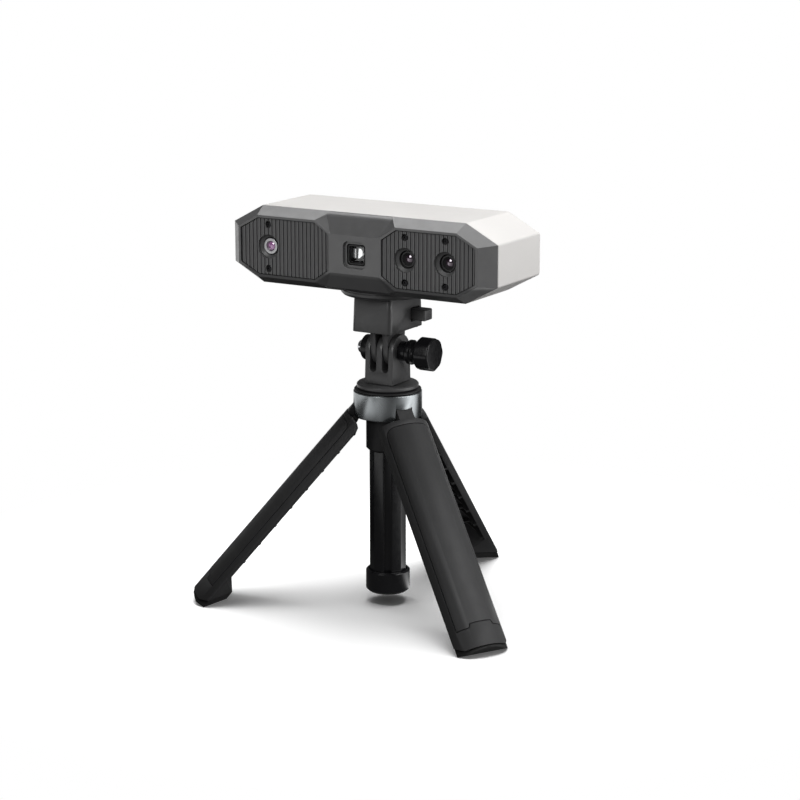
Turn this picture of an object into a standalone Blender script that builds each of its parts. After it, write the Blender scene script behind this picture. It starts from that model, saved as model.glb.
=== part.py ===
"""Three-d scanner head on a quick-release block, a clamped fork and a folding mini tripod.

Metres, +Z up. The floor is z = 0 and the origin is the middle of the footprint.
The scanner looks along -Y. The tripod stands open, as in use: one leg points back (+Y)
and two point forwards. Each moving piece hangs from an empty on its joint's axis.
"""

import math

import bmesh
import bpy

# Clearances and overruns shared by all pieces
gap = 0.0003
overrun = 0.0010

# Housing of the scanner head
head_width = 0.1200
head_height = 0.0311
head_depth = 0.0412
corner_cut_x = 0.0138
corner_cut_z = 0.0074
seam_depth = 0.00585
shell_wall = 0.0018
shell_edge_round = 0.0014
shell_corner_round = 0.0012
spigot_length = 0.0030

# Front face of the bezel
face_inset_x = 0.0057
face_inset_z = 0.0032
face_cut_x = 0.0091
face_cut_z = 0.0049
centre_half_width = 0.0110
inner_cut_x = 0.0072
inner_cut_z = 0.00473
notch_half_width = 0.0145
upper_notch_depth = 0.0039
upper_notch_inset = 0.0024
lower_notch_depth = 0.0024
lower_notch_inset = 0.00155
cavity_front = 0.0026
cavity_past_screws = 0.0002
cavity_wall_x = 0.0100
cavity_cut_x = 0.0060
cavity_cut_z = 0.0033

# Ribbed panels set into the front
panel_rim = 0.0010
panel_recess = 0.0017
rib_pitch = 0.0018
rib_groove_width = 0.0011
rib_groove_depth = 0.0005
rib_setback = 0.0003

# Lenses, small screws and the projector window
colour_lens_share = -0.3358
depth_lens_shares = (0.1867, 0.3350)
lens_hole_radius = 0.00485
lens_tunnel_radius = 0.0041
lens_tunnel_wall = 0.0010
barrel_radius = 0.0032
colour_barrel_front = 0.0020
depth_barrel_front = 0.0030
glass_radius = 0.00155
glass_setback = 0.0008
glass_thickness = 0.0008
face_screw_share = 0.7576
face_screw_recess_radius = 0.00145
face_screw_head_radius = 0.0011
face_screw_shank_radius = 0.0006
face_screw_head_height = 0.0006
face_screw_reach = 0.0006
window_width = 0.0105
window_round = 0.0023
window_step = 0.0011
window_step_depth = 0.0012
window_glass_width = 0.0053
window_glass_height = 0.00585
window_glass_round = 0.0003
window_glass_depth = 0.0040
window_glass_thickness = 0.0008
window_rim = 0.0003

# Pieces inside the head
bench_front = 0.0066
bench_thickness = 0.0016
camera_module_width = 0.0100
camera_module_depth = 0.0050
projector_body_width = 0.0130
projector_to_sink = 0.0030
board_thickness = 0.0016
board_standoff = 0.0028
board_margin = 0.0030
board_front = 0.0120
sink_width = 0.0300
sink_depth = 0.0100
sink_base = 0.0015
sink_fin_height = 0.0040
sink_fin_count = 6
boss_radius = 0.0016
insert_radius = 0.0044
insert_flange = 0.0010
port_plate_width = 0.0440
port_plate_height = 0.0170
port_plate_thickness = 0.0016
port_plate_round = 0.0020
port_plate_inset = 0.0004
port_plate_rise = 0.01355
socket_width = 0.0092
socket_height = 0.0034
socket_length = 0.0080
socket_wall = 0.0005
socket_x = -0.0130
scan_button_radius = 0.0036
scan_button_proud = 0.0008
scan_button_lip = 0.0008
scan_button_travel = 0.0006
scan_button_x = 0.0130
scan_switch_width = 0.0060
scan_switch_depth = 0.0030
status_light_radius = 0.0010
status_light_x = 0.0

# Release plate, block, button and clamp
plate_radius = 0.0186
plate_thickness = 0.0027
plate_edge = 0.0008
stud_radius = 0.0048
stud_length = 0.0050
stud_waist = 0.0010
plate_screw_radius = 0.0031
front_reach = 0.0250
block_width = 0.0174
block_depth = 0.0250
block_height = 0.0141
block_round = 0.0018
block_flare = 0.0004
block_lip_drop = 0.0010
block_lip_depth = 0.0015
button_width = 0.0063
button_height = 0.0046
button_proud = 0.0064
button_offset = 0.0066
button_drop = 0.0061
button_reach = 0.0046
button_travel = 0.0025
spring_radius = 0.0014
spring_wire = 0.0002
spring_turns = 3
spring_length = 0.0036
prong_thickness = 0.0024
prong_pitch_half = 0.0028
prong_radius = 0.0065
prong_foot_half = 0.0073
fork_prong_radius = 0.0066
axis_to_block = 0.0087
axis_to_disc = 0.0130
fork_width = 0.0128
fork_base_depth = 0.0144
fork_slot_depth = 0.0083
bolt_radius = 0.0024
bolt_bore = 0.0060
knob_neck_radius = 0.0040
knob_neck_length = 0.0030
knob_flare_radius = 0.0050
knob_flare_length = 0.0022
knob_waist_radius = 0.0042
knob_radius = 0.0067
knob_length = 0.0151
knob_lobe_depth = 0.0005
knob_lobes = 8
knob_grip_length = 0.0070
knob_edge = 0.0007
nut_holder_radius = 0.0052
nut_holder_length = 0.0034
nut_radius = 0.0032
nut_proud = 0.0036

# Hub, column and cap of the tripod
hub_radius = 0.01387
hub_ring_height = 0.0105
hub_ring_bore = 0.0106
hub_ring_edge = 0.0004
hub_flange_radius = 0.0136
hub_flange_height = 0.0005
hub_flange_edge = 0.0003
collar_radius = 0.0088
collar_length = 0.0145
collar_edge = 0.0013
disc_radius = 0.0125
disc_thickness = 0.0020
disc_edge = 0.0005
disc_screw_radius = 0.0031
disc_screw_head_radius = 0.0045
disc_screw_head_height = 0.0020
disc_screw_length = 0.0105
column_half_width = 0.00735
column_corner_cut = 0.0074
column_groove_width = 0.0028
column_groove_depth = 0.0007
column_bore = 0.0052
column_plug_length = 0.0120
cap_above_floor = 0.00455
cap_radius = 0.0090
cap_height = 0.0093
cap_floor = 0.0024
cap_edge = 0.0012

# Legs, as they stand when folded down beside the column
splay = math.radians(40.0)
leg_angles = (math.radians(90.0), math.radians(210.0), math.radians(330.0))
hinge_radius = 0.0114
hinge_above_ring_bottom = 0.0043
leg_length = 0.1031
leg_wall = 0.0024
leg_half_angle = math.radians(58.0)
leg_top_round = 0.0030
foot_lift = 0.0010
tab_width = 0.0069
tab_radius = 0.0019
slot_play = 0.0003
pin_radius = 0.0008
pin_half_length = 0.0049
sector_gap = 0.0004
brace_clear_radius = 0.0097
brace_wall = 0.0011
brace_pitch = 0.0100
brace_start = 0.0040
brace_step = 0.0003
brace_margin = math.radians(3.0)
brace_draw_in = math.radians(1.0)
brace_rising_count = 5
brace_falling_count = 3
heel_slope = math.radians(41.5)
heel_length = 0.0143
heel_part_height = 0.0030
pad_edge = 0.0005
pad_toe = 0.0009
pad_taper = 0.0009
pad_nose_run = 0.0024
pad_nose_drop = 0.0008
pad_flat_set = 0.0006
cover_half_angle = math.radians(44.0)
cover_thickness = 0.0010
cover_top_drop = 0.0024
cover_to_end = 0.0082
cover_tongue_rise = 0.0016
cover_tongue_angle = math.radians(20.0)
cover_round = 0.0032

# Facet counts
ring_steps = 40
round_steps = 28
small_steps = 16
tiny_steps = 8
lens_steps = 20
leg_steps = 10

# Finishes: colour, roughness, metallic
dark_plastic = ((0.075, 0.075, 0.078), 0.45, 0.0)
bezel_plastic = ((0.060, 0.061, 0.063), 0.50, 0.0)
rib_plastic = ((0.050, 0.051, 0.053), 0.55, 0.0)
pale_plastic = ((0.780, 0.770, 0.755), 0.42, 0.0)
black_plastic = ((0.018, 0.018, 0.019), 0.40, 0.0)
soft_black = ((0.045, 0.045, 0.046), 0.62, 0.0)
rubber = ((0.012, 0.012, 0.012), 0.75, 0.0)
titanium_grey = ((0.420, 0.440, 0.460), 0.28, 1.0)
chrome = ((0.850, 0.850, 0.860), 0.08, 1.0)
steel = ((0.550, 0.550, 0.560), 0.30, 1.0)
aluminium = ((0.700, 0.700, 0.710), 0.35, 1.0)
brass = ((0.780, 0.600, 0.290), 0.30, 1.0)
lens_glass = ((0.060, 0.030, 0.070), 0.05, 0.0)
clear_glass = ((0.800, 0.820, 0.850), 0.05, 0.0)
board_green = ((0.020, 0.150, 0.070), 0.50, 0.0)
light_white = ((0.850, 0.900, 0.850), 0.30, 0.0)


def clear_scene():
    """Remove whatever objects the file holds."""
    for item in list(bpy.data.objects):
        bpy.data.objects.remove(item, do_unlink=True)


def empty(name, location, rotation=(0.0, 0.0, 0.0)):
    """An empty that carries the pieces on one joint's axis."""
    item = bpy.data.objects.new(name, None)
    item.location = location
    item.rotation_euler = rotation
    bpy.context.scene.collection.objects.link(item)
    return item


def material(name, finish):
    """A Principled material with its own colour, roughness and metallic value."""
    colour, roughness, metallic = finish
    result = bpy.data.materials.new(name)
    result.use_nodes = True
    shader = result.node_tree.nodes["Principled BSDF"]
    shader.inputs["Base Color"].default_value = (*colour, 1.0)
    shader.inputs["Roughness"].default_value = roughness
    shader.inputs["Metallic"].default_value = metallic
    return result


def place(name, mesh_data, parent, location=(0.0, 0.0, 0.0)):
    """Turn a bmesh into an object under its parent, with its faces pointing out."""
    bmesh.ops.recalc_face_normals(mesh_data, faces=mesh_data.faces)
    mesh = bpy.data.meshes.new(name)
    mesh_data.to_mesh(mesh)
    mesh_data.free()
    item = bpy.data.objects.new(name, mesh)
    item.parent = parent
    item.location = location
    bpy.context.scene.collection.objects.link(item)
    return item


def piece(name, finish, mesh_data, parent, location=(0.0, 0.0, 0.0)):
    """A visible sub-part with its own material, smooth on its round faces."""
    item = place(name, mesh_data, parent, location)
    item.data.materials.append(material(name, finish))
    item.data.shade_smooth()
    item.data.set_sharp_from_angle(angle=math.radians(32.0))
    return item


def guide(name, mesh_data, parent, location=(0.0, 0.0, 0.0)):
    """A hidden cutter, or a block that is joined on."""
    item = place(name, mesh_data, parent, location)
    item.hide_render = True
    item.display_type = "WIRE"
    return item


def combine(item, other, operation):
    """Add a Boolean between a piece and a hidden guide."""
    modifier = item.modifiers.new(other.name, "BOOLEAN")
    modifier.operation = operation
    modifier.solver = "EXACT"
    modifier.object = other
    return item


def loft(loops, closed=False, mesh_data=None):
    """Skin equal loops of 3-D points; open lofts are capped at both ends."""
    result = mesh_data or bmesh.new()
    rings = [[result.verts.new(point) for point in loop] for loop in loops]
    pairs = list(zip(rings, rings[1:]))
    if closed:
        pairs.append((rings[-1], rings[0]))
    for near, far in pairs:
        for index in range(len(near)):
            following = (index + 1) % len(near)
            result.faces.new((near[index], near[following], far[following], far[index]))
    if not closed:
        result.faces.new(list(reversed(rings[0])))
        result.faces.new(rings[-1])
    return result


def on_axis(axis, across, up, along):
    """Place a point of a section (across, up) at a distance along the X, Y or Z axis."""
    if axis == "X":
        return (along, across, up)
    if axis == "Y":
        return (across, along, up)
    return (across, up, along)


def prism(outline, low, high, axis="Z", mesh_data=None):
    """Extrude a flat outline between two places along an axis."""
    loops = [[on_axis(axis, u, v, place_along) for u, v in outline] for place_along in (low, high)]
    return loft(loops, mesh_data=mesh_data)


def rectangle(low_u, high_u, low_v, high_v):
    """Corner points of a rectangle."""
    return [(low_u, low_v), (high_u, low_v), (high_u, high_v), (low_u, high_v)]


def box(low, high, mesh_data=None):
    """A plain block between two corners."""
    outline = rectangle(low[0], high[0], low[1], high[1])
    return prism(outline, low[2], high[2], mesh_data=mesh_data)


def arc(centre, radius, start, end, steps):
    """Points of an arc from one angle to another, both ends included."""
    angles = [start + (end - start) * index / steps for index in range(steps + 1)]
    return [(centre[0] + radius * math.cos(a), centre[1] + radius * math.sin(a)) for a in angles]


def round_rectangle(half_u, half_v, radius, steps=4):
    """A centred rectangle with round corners."""
    points = []
    for turn, (sign_u, sign_v) in enumerate(((1, 1), (-1, 1), (-1, -1), (1, -1))):
        centre = (sign_u * (half_u - radius), sign_v * (half_v - radius))
        points += arc(centre, radius, turn * math.pi / 2, (turn + 1) * math.pi / 2, steps)
    return points


def turned(profile, axis="Z", centre=(0.0, 0.0), steps=round_steps, mesh_data=None):
    """Turn a closed profile of (radius, place along the axis) points; radius 0 is on the axis."""
    result = mesh_data or bmesh.new()
    rings = []
    for radius, along in profile:
        if radius == 0.0:
            rings.append([result.verts.new(on_axis(axis, centre[0], centre[1], along))])
            continue
        circle = arc(centre, radius, 0.0, 2 * math.pi, steps)[:-1]
        rings.append([result.verts.new(on_axis(axis, u, v, along)) for u, v in circle])
    for index, near in enumerate(rings):
        far = rings[(index + 1) % len(rings)]
        if len(near) == 1 and len(far) == 1:
            continue
        for step in range(steps):
            following = (step + 1) % steps
            corners = [near[step % len(near)], near[following % len(near)]]
            corners += [far[following % len(far)], far[step % len(far)]]
            result.faces.new(list(dict.fromkeys(corners)))
    return result


def rod(radius, low, high, axis="Z", centre=(0.0, 0.0), steps=round_steps, mesh_data=None):
    """A solid cylinder."""
    profile = [(0.0, low), (radius, low), (radius, high), (0.0, high)]
    return turned(profile, axis, centre, steps, mesh_data)


def tube(outer, inner, low, high, axis="Z", centre=(0.0, 0.0), steps=round_steps, mesh_data=None):
    """A straight tube."""
    profile = [(outer, low), (outer, high), (inner, high), (inner, low)]
    return turned(profile, axis, centre, steps, mesh_data)


def cut_rectangle(half_u, half_v, cut_u, cut_v, shrink=0.0):
    """A rectangle with slanting corners as (half width, half height, cuts), drawn in evenly."""
    slant = math.hypot(cut_u, cut_v)
    new_cut_u = cut_u - shrink + shrink * (slant - cut_u) / cut_v
    new_cut_v = cut_v - shrink + shrink * (slant - cut_v) / cut_u
    return half_u - shrink, half_v - shrink, new_cut_u, new_cut_v


def octagon(half_u, half_v, cut_u, cut_v):
    """The eight corners of such a rectangle, anticlockwise from the lower right."""
    right = [(half_u, cut_v - half_v), (half_u, half_v - cut_v), (half_u - cut_u, half_v)]
    left = [(cut_u - half_u, half_v), (-half_u, half_v - cut_v), (-half_u, cut_v - half_v)]
    return right + left + [(cut_u - half_u, -half_v), (half_u - cut_u, -half_v)]


def rounded(outline, radius, steps=2):
    """Round each corner of a convex outline by an arc of the given radius."""
    points = []
    for index, corner in enumerate(outline):
        before = outline[index - 1]
        after = outline[(index + 1) % len(outline)]
        back = (before[0] - corner[0], before[1] - corner[1])
        ahead = (after[0] - corner[0], after[1] - corner[1])
        back_length = math.hypot(*back)
        ahead_length = math.hypot(*ahead)
        turn = math.acos((back[0] * ahead[0] + back[1] * ahead[1]) / (back_length * ahead_length))
        reach = radius / math.tan(turn / 2)
        start = (corner[0] + back[0] * reach / back_length, corner[1] + back[1] * reach / back_length)
        end = (corner[0] + ahead[0] * reach / ahead_length, corner[1] + ahead[1] * reach / ahead_length)
        middle = ((start[0] + end[0]) / 2, (start[1] + end[1]) / 2)
        to_middle = math.hypot(middle[0] - corner[0], middle[1] - corner[1])
        centre_reach = radius / math.sin(turn / 2)
        centre = (corner[0] + (middle[0] - corner[0]) * centre_reach / to_middle,
                  corner[1] + (middle[1] - corner[1]) * centre_reach / to_middle)
        first = math.atan2(start[1] - centre[1], start[0] - centre[0])
        sweep = math.atan2(end[1] - centre[1], end[0] - centre[0]) - first
        sweep = (sweep + math.pi) % (2 * math.pi) - math.pi
        points += arc(centre, radius, first, first + sweep, steps)
    return points


# Heights that follow from the sizes above

cos_splay = math.cos(splay)
sin_splay = math.sin(splay)
knuckle_radius = hub_radius - hinge_radius
leg_edge_x = hub_radius * math.cos(leg_half_angle) - hinge_radius
hinge_height = foot_lift + leg_length * cos_splay - leg_edge_x * sin_splay
ring_bottom = hinge_height - hinge_above_ring_bottom
ring_top = ring_bottom + hub_ring_height
flange_bottom = ring_top + gap
flange_top = flange_bottom + hub_flange_height
disc_bottom = flange_top + gap
disc_top = disc_bottom + disc_thickness
tilt_height = disc_top + gap + axis_to_disc
block_bottom = tilt_height + axis_to_block
block_top = block_bottom + block_height
plate_bottom = block_top + gap
plate_top = plate_bottom + plate_thickness
head_bottom = plate_top + gap
head_middle = head_bottom + head_height / 2
column_top = disc_bottom - gap
cap_bottom = cap_above_floor
leg_top = knuckle_radius * sin_splay + hinge_above_ring_bottom * cos_splay + gap

# The tripod's axis, set back so that the footprint's middle is the origin

crown_reach = hinge_radius + knuckle_radius * cos_splay + leg_length * sin_splay
edge_reach = hinge_radius + leg_edge_x * cos_splay + leg_length * sin_splay
edge_side = hub_radius * math.sin(leg_half_angle)
front_angle = leg_angles[2]
forward_reach = edge_side * math.cos(front_angle) - edge_reach * math.sin(front_angle)
axis_y = (forward_reach - crown_reach) / 2
front_y = axis_y - front_reach


def frames():
    """The empties that carry the fixed and the moving pieces."""
    result = {
        "hub": empty("hub_frame", (0.0, axis_y, 0.0)),
        "column": empty("column_frame", (0.0, axis_y, 0.0)),
        "fork": empty("fork_frame", (0.0, axis_y, disc_bottom)),
        "tilt": empty("tilt_frame", (0.0, axis_y, tilt_height)),
        "head": empty("head_frame", (0.0, front_y, head_middle)),
    }
    for index, angle in enumerate(leg_angles):
        spot = (hinge_radius * math.cos(angle), axis_y + hinge_radius * math.sin(angle), hinge_height)
        result["leg", index] = empty(f"leg_{index + 1}_frame", spot, (0.0, -splay, angle))
    return result


# Scanner head


def spread_octagon(half_u, half_v, cut_u, cut_v, outer_u, inner_u):
    """The cut rectangle with four more points on its top and on its bottom, for the notches."""
    ring = octagon(half_u, half_v, cut_u, cut_v)
    top = [(outer_u, half_v), (inner_u, half_v), (-inner_u, half_v), (-outer_u, half_v)]
    bottom = [(-outer_u, -half_v), (-inner_u, -half_v), (inner_u, -half_v), (outer_u, -half_v)]
    return ring[:3] + top + ring[3:7] + bottom + ring[7:]


def face_screw_rise():
    """How far the screws stand from the lens's axis: between its hole and the panel's edge."""
    low = lens_hole_radius + face_screw_recess_radius
    high = head_height / 2 - face_inset_z - panel_rim - gap - face_screw_recess_radius
    return low + (high - low) * face_screw_share


def cavity_size():
    """Half width, half height and corner cuts of the bezel's hollow, which the screws reach."""
    half_v = face_screw_rise() + cavity_past_screws
    return head_width / 2 - cavity_wall_x, half_v, cavity_cut_x, cavity_cut_z


def bezel_mesh():
    """The bezel: chamfered front, two V-shaped notches, a spigot and an open back."""
    outer_u = centre_half_width + inner_cut_x
    inner_u = notch_half_width
    face_half_u = head_width / 2 - face_inset_x
    face_half_v = head_height / 2 - face_inset_z
    seam = spread_octagon(head_width / 2, head_height / 2, corner_cut_x, corner_cut_z, outer_u, inner_u)
    face = spread_octagon(face_half_u, face_half_v, face_cut_x, face_cut_z, outer_u, inner_u)
    waist = face_half_v - inner_cut_z
    for index, point in ((4, (1, 1)), (5, (-1, 1)), (12, (-1, -1)), (13, (1, -1))):
        face[index] = (point[0] * centre_half_width, point[1] * waist)
    spigot = cut_rectangle(head_width / 2, head_height / 2, corner_cut_x, corner_cut_z, shell_wall + gap)
    spigot_back = seam_depth + spigot_length
    spigot_ring = spread_octagon(*spigot, outer_u, inner_u)
    cavity_ring = spread_octagon(*cavity_size(), outer_u, inner_u)

    result = bmesh.new()
    front = [result.verts.new((u, 0.0, v)) for u, v in face]
    rear = [result.verts.new((u, seam_depth, v)) for u, v in seam]
    result.faces.new(front)
    notches = (
        (3, upper_notch_depth, head_height / 2 - upper_notch_inset),
        (11, lower_notch_depth, lower_notch_inset - head_height / 2),
    )
    notch_sides = []
    for first, depth, height in notches:
        sign = 1 if height > 0 else -1
        near = result.verts.new((sign * inner_u, depth, height))
        far = result.verts.new((-sign * inner_u, depth, height))
        a, b, c, d = range(first, first + 4)
        result.faces.new((front[a], rear[a], rear[b]))
        result.faces.new((front[a], rear[b], near))
        result.faces.new((front[a], near, front[b]))
        result.faces.new((near, rear[b], rear[c], far))
        result.faces.new((front[b], near, far, front[c]))
        result.faces.new((front[d], far, front[c]))
        result.faces.new((front[d], rear[c], far))
        result.faces.new((front[d], rear[d], rear[c]))
        notch_sides += [a, b, c]
    for index in range(len(front)):
        if index in notch_sides:
            continue
        following = (index + 1) % len(front)
        result.faces.new((front[index], front[following], rear[following]))
        result.faces.new((front[index], rear[following], rear[index]))
    last = rear
    inward = ((spigot_ring, seam_depth), (spigot_ring, spigot_back), (cavity_ring, spigot_back),
              (cavity_ring, cavity_front))
    for ring, depth in inward:
        new = [result.verts.new((u, depth, v)) for u, v in ring]
        for index in range(len(new)):
            following = (index + 1) % len(new)
            result.faces.new((last[index], last[following], new[following], new[index]))
        last = new
    result.faces.new(last)
    return result


def panel_outline(side, shrink):
    """Outline of a ribbed panel: four unlike corner cuts, drawn in by the rim."""
    outer = head_width / 2 - face_inset_x
    half_v = head_height / 2 - face_inset_z
    inner_cuts = cut_rectangle(centre_half_width, half_v, inner_cut_x, inner_cut_z, shrink)
    outer_cuts = cut_rectangle(outer, half_v, face_cut_x, face_cut_z, shrink)
    high = half_v - shrink
    low_u = centre_half_width + shrink
    high_u = outer - shrink
    points = [(low_u, inner_cuts[3] - high), (low_u + inner_cuts[2], -high), (high_u - outer_cuts[2], -high),
              (high_u, outer_cuts[3] - high), (high_u, high - outer_cuts[3]), (high_u - outer_cuts[2], high),
              (low_u + inner_cuts[2], high), (low_u, high - inner_cuts[3])]
    return [(side * u, v) for u, v in points]


def lens_places():
    """Centres of the three lenses, left to right."""
    return [head_width * share for share in (colour_lens_share, *depth_lens_shares)]


def face_screw_places():
    """The small screws above and below each lens."""
    return [(x, sign * face_screw_rise()) for x in lens_places() for sign in (1, -1)]


def ribbed_panel(name, side, frame):
    """A panel of upright ribs, with holes for its lenses and screws."""
    shrink = panel_rim + gap
    outline = panel_outline(side, shrink)
    low = min(u for u, v in outline)
    high = max(u for u, v in outline)
    rib_front = rib_setback
    floor = rib_front + rib_groove_depth
    back = panel_recess - gap
    count = int((high - low) / rib_pitch)
    start = (low + high) / 2 - count * rib_pitch / 2
    profile = [(low - overrun, back), (low - overrun, rib_front)]
    for index in range(count + 1):
        middle = start + index * rib_pitch
        left = middle - rib_groove_width / 2
        right = middle + rib_groove_width / 2
        profile += [(left, rib_front), (left, floor), (right, floor), (right, rib_front)]
    profile += [(high + overrun, rib_front), (high + overrun, back)]
    half_v = head_height / 2
    item = piece(name, rib_plastic, prism(profile, -half_v, half_v, "Z"), frame)
    trim = guide(f"{name}_trim", prism(outline, -overrun, panel_recess + overrun, "Y"), frame)
    combine(item, trim, "INTERSECT")
    holes = bmesh.new()
    for x in lens_places():
        if x * side > 0:
            rod(lens_hole_radius, -overrun, panel_recess + overrun, "Y", (x, 0.0), lens_steps, holes)
    for x, z in face_screw_places():
        if x * side > 0:
            rod(face_screw_recess_radius, -overrun, panel_recess + overrun, "Y", (x, z), tiny_steps, holes)
    return combine(item, guide(f"{name}_holes", holes, frame), "DIFFERENCE")


def front_bezel(frame):
    """The dark front: recesses, lens tunnels, screw holes and the projector window."""
    item = piece("front_bezel", bezel_plastic, bezel_mesh(), frame)
    half = window_width / 2
    inner = half - window_step
    inner_round = window_round - window_step
    steps = ((half, window_round, -overrun), (half, window_round, window_step_depth),
             (inner, inner_round, window_step_depth), (inner, inner_round, cavity_front + overrun))
    window = [[(u, y, v) for u, v in round_rectangle(size, size, radius)] for size, radius, y in steps]
    combine(item, guide("window_opening", loft(window), frame), "DIFFERENCE")
    tunnels = bmesh.new()
    tunnel_radius = lens_tunnel_radius + lens_tunnel_wall
    middle = (panel_recess + cavity_front) / 2
    for x in lens_places():
        rod(tunnel_radius, middle, bench_front - gap, "Y", (x, 0.0), lens_steps, tunnels)
    combine(item, guide("lens_tunnels", tunnels, frame), "UNION")
    recess = bmesh.new()
    for side in (1, -1):
        prism(panel_outline(side, panel_rim), -overrun, panel_recess, "Y", recess)
    combine(item, guide("panel_recesses", recess, frame), "DIFFERENCE")
    holes = bmesh.new()
    for x in lens_places():
        rod(lens_tunnel_radius, 0.0, bench_front + overrun, "Y", (x, 0.0), lens_steps, holes)
    for x, z in face_screw_places():
        hole_end = cavity_front + face_screw_reach + gap
        rod(face_screw_shank_radius + gap, 0.0, hole_end, "Y", (x, z), tiny_steps, holes)
    return combine(item, guide("bezel_holes", holes, frame), "DIFFERENCE")


def port_plate_middle():
    """Height of the rear plate's middle, measured from the head's middle."""
    return port_plate_rise - head_height / 2


def rear_shell(frame):
    """The pale housing: an open-fronted box with slanting corners, soft edges and board bosses."""
    size = (head_width / 2, head_height / 2, corner_cut_x, corner_cut_z)
    front = seam_depth + gap
    soft = shell_edge_round
    inner_round = shell_corner_round / 2
    lean = 1 - math.sqrt(0.5)

    def ring(shrink, depth, radius):
        outline = rounded(octagon(*cut_rectangle(*size, shrink)), radius)
        return [(u, depth, v) for u, v in outline]

    outside = [ring(0.0, front, shell_corner_round), ring(0.0, head_depth - soft, shell_corner_round),
               ring(soft * lean, head_depth - soft * lean, shell_corner_round),
               ring(soft, head_depth, shell_corner_round)]
    item = piece("rear_shell", pale_plastic, loft(outside), frame)
    hollow = [ring(shell_wall, y, inner_round) for y in (front - overrun, head_depth - shell_wall)]
    combine(item, guide("shell_hollow", loft(hollow), frame), "DIFFERENCE")
    bosses = bmesh.new()
    under = board_levels()[0]
    for x, y in boss_places():
        rod(boss_radius, shell_wall / 2 - head_height / 2, under - gap, "Z", (x, y), tiny_steps, bosses)
    combine(item, guide("shell_bosses", bosses, frame), "UNION")
    openings = bmesh.new()
    insert_low = -head_height / 2 - overrun
    insert_high = shell_wall + overrun - head_height / 2
    rod(insert_radius + gap, insert_low, insert_high, "Z", (0.0, front_reach), small_steps, openings)
    plate_hole = round_rectangle(port_plate_width / 2 + gap, port_plate_height / 2 + gap, port_plate_round)
    plate_hole = [(u, v + port_plate_middle()) for u, v in plate_hole]
    prism(plate_hole, head_depth - shell_wall - overrun, head_depth + overrun, "Y", openings)
    return combine(item, guide("shell_openings", openings, frame), "DIFFERENCE")


def lens_set(name, x, front, ring_finish, frame):
    """A lens: a barrel from the bench with a recess in its front, and its glass."""
    seat = glass_radius + gap
    glass_front = front + glass_setback
    glass_back = glass_front + glass_thickness
    back = bench_front + bench_thickness
    profile = [(0.0, glass_back + gap), (seat, glass_back + gap), (seat, front), (barrel_radius, front),
               (barrel_radius, back), (0.0, back)]
    piece(f"{name}_barrel", ring_finish, turned(profile, "Y", (x, 0.0), small_steps), frame)
    crown = glass_front - glass_setback / 2
    dome = [(0.0, crown), (glass_radius / 2, crown), (glass_radius, glass_front), (glass_radius, glass_back),
            (0.0, glass_back)]
    piece(f"{name}_glass", lens_glass, turned(dome, "Y", (x, 0.0), small_steps), frame)


def sink_rear():
    """The heat sink's rear face, just before the data socket."""
    return head_depth - port_plate_inset - socket_length - gap


def projector(frame):
    """The stepped window frame, its glass, and the projector body behind."""
    outer = window_width / 2 - window_step - gap
    inner = outer - window_rim
    outer_round = window_round - window_step
    half_u = window_glass_width / 2
    half_v = window_glass_height / 2
    front = window_step_depth + gap
    back = bench_front - gap
    seat = window_glass_depth - gap
    loops = [(outer, outer, outer_round, front), (inner, inner, outer_round - window_rim, front),
             (half_u + gap, half_v + gap, window_glass_round, seat),
             (half_u + gap, half_v + gap, window_glass_round, back), (outer, outer, outer_round, back)]
    rings = [[(u, y, v) for u, v in round_rectangle(*size, 3)] for *size, y in loops]
    piece("projector_frame", black_plastic, loft(rings, closed=True), frame)
    glass_back = window_glass_depth + window_glass_thickness
    glass = box((-half_u, window_glass_depth, -half_v), (half_u, glass_back, half_v))
    piece("projector_glass", clear_glass, glass, frame)
    half = projector_body_width / 2
    body_front = bench_front + bench_thickness + gap
    body_rear = sink_rear() - sink_depth - projector_to_sink
    body = box((-half, body_front, -half), (half, body_rear, half))
    item = piece("projector_module", black_plastic, body, frame)
    snout = box((-half_u, glass_back + gap, -half_v), (half_u, body_front + overrun, half_v))
    combine(item, guide("projector_snout", snout, frame), "UNION")


def optics_bench(frame):
    """The metal plate that carries the cameras and the projector."""
    outline = octagon(*cut_rectangle(*cavity_size(), gap))
    back = bench_front + bench_thickness
    item = piece("optical_bench", aluminium, prism(outline, bench_front, back, "Y"), frame)
    holes = bmesh.new()
    low = bench_front - overrun
    high = back + overrun
    for x in lens_places():
        rod(barrel_radius + gap, low, high, "Y", (x, 0.0), small_steps, holes)
    half_u = window_glass_width / 2 + gap
    half_v = window_glass_height / 2 + gap
    prism(rectangle(-half_u, half_u, -half_v, half_v), low, high, "Y", holes)
    combine(item, guide("bench_holes", holes, frame), "DIFFERENCE")
    names = ("colour_camera_module", "depth_camera_module_1", "depth_camera_module_2")
    half = camera_module_width / 2
    for name, x in zip(names, lens_places()):
        body = box((x - half, back + gap, -half), (x + half, back + gap + camera_module_depth, half))
        piece(name, black_plastic, body, frame)


def face_screws(frame):
    """The small screws above and below the lenses."""
    seat = panel_recess - gap
    tip = cavity_front + face_screw_reach
    top = seat - face_screw_head_height
    profile = [(0.0, top), (face_screw_head_radius, top), (face_screw_head_radius, seat),
               (face_screw_shank_radius, seat), (face_screw_shank_radius, tip), (0.0, tip)]
    for index, (x, z) in enumerate(face_screw_places()):
        screw = turned(profile, "Y", steps=tiny_steps)
        piece(f"bezel_screw_{index + 1}", steel, screw, frame, (x, 0.0, z))


def board_levels():
    """Underside and top of the main board, measured from the head's middle."""
    under = shell_wall + board_standoff - head_height / 2
    return under, under + board_thickness


def board_reach():
    """Half width and rear edge of the main board."""
    half_u = head_width / 2 - corner_cut_x - board_margin
    rear = head_depth - shell_wall - gap - port_plate_thickness
    return half_u, rear


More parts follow.
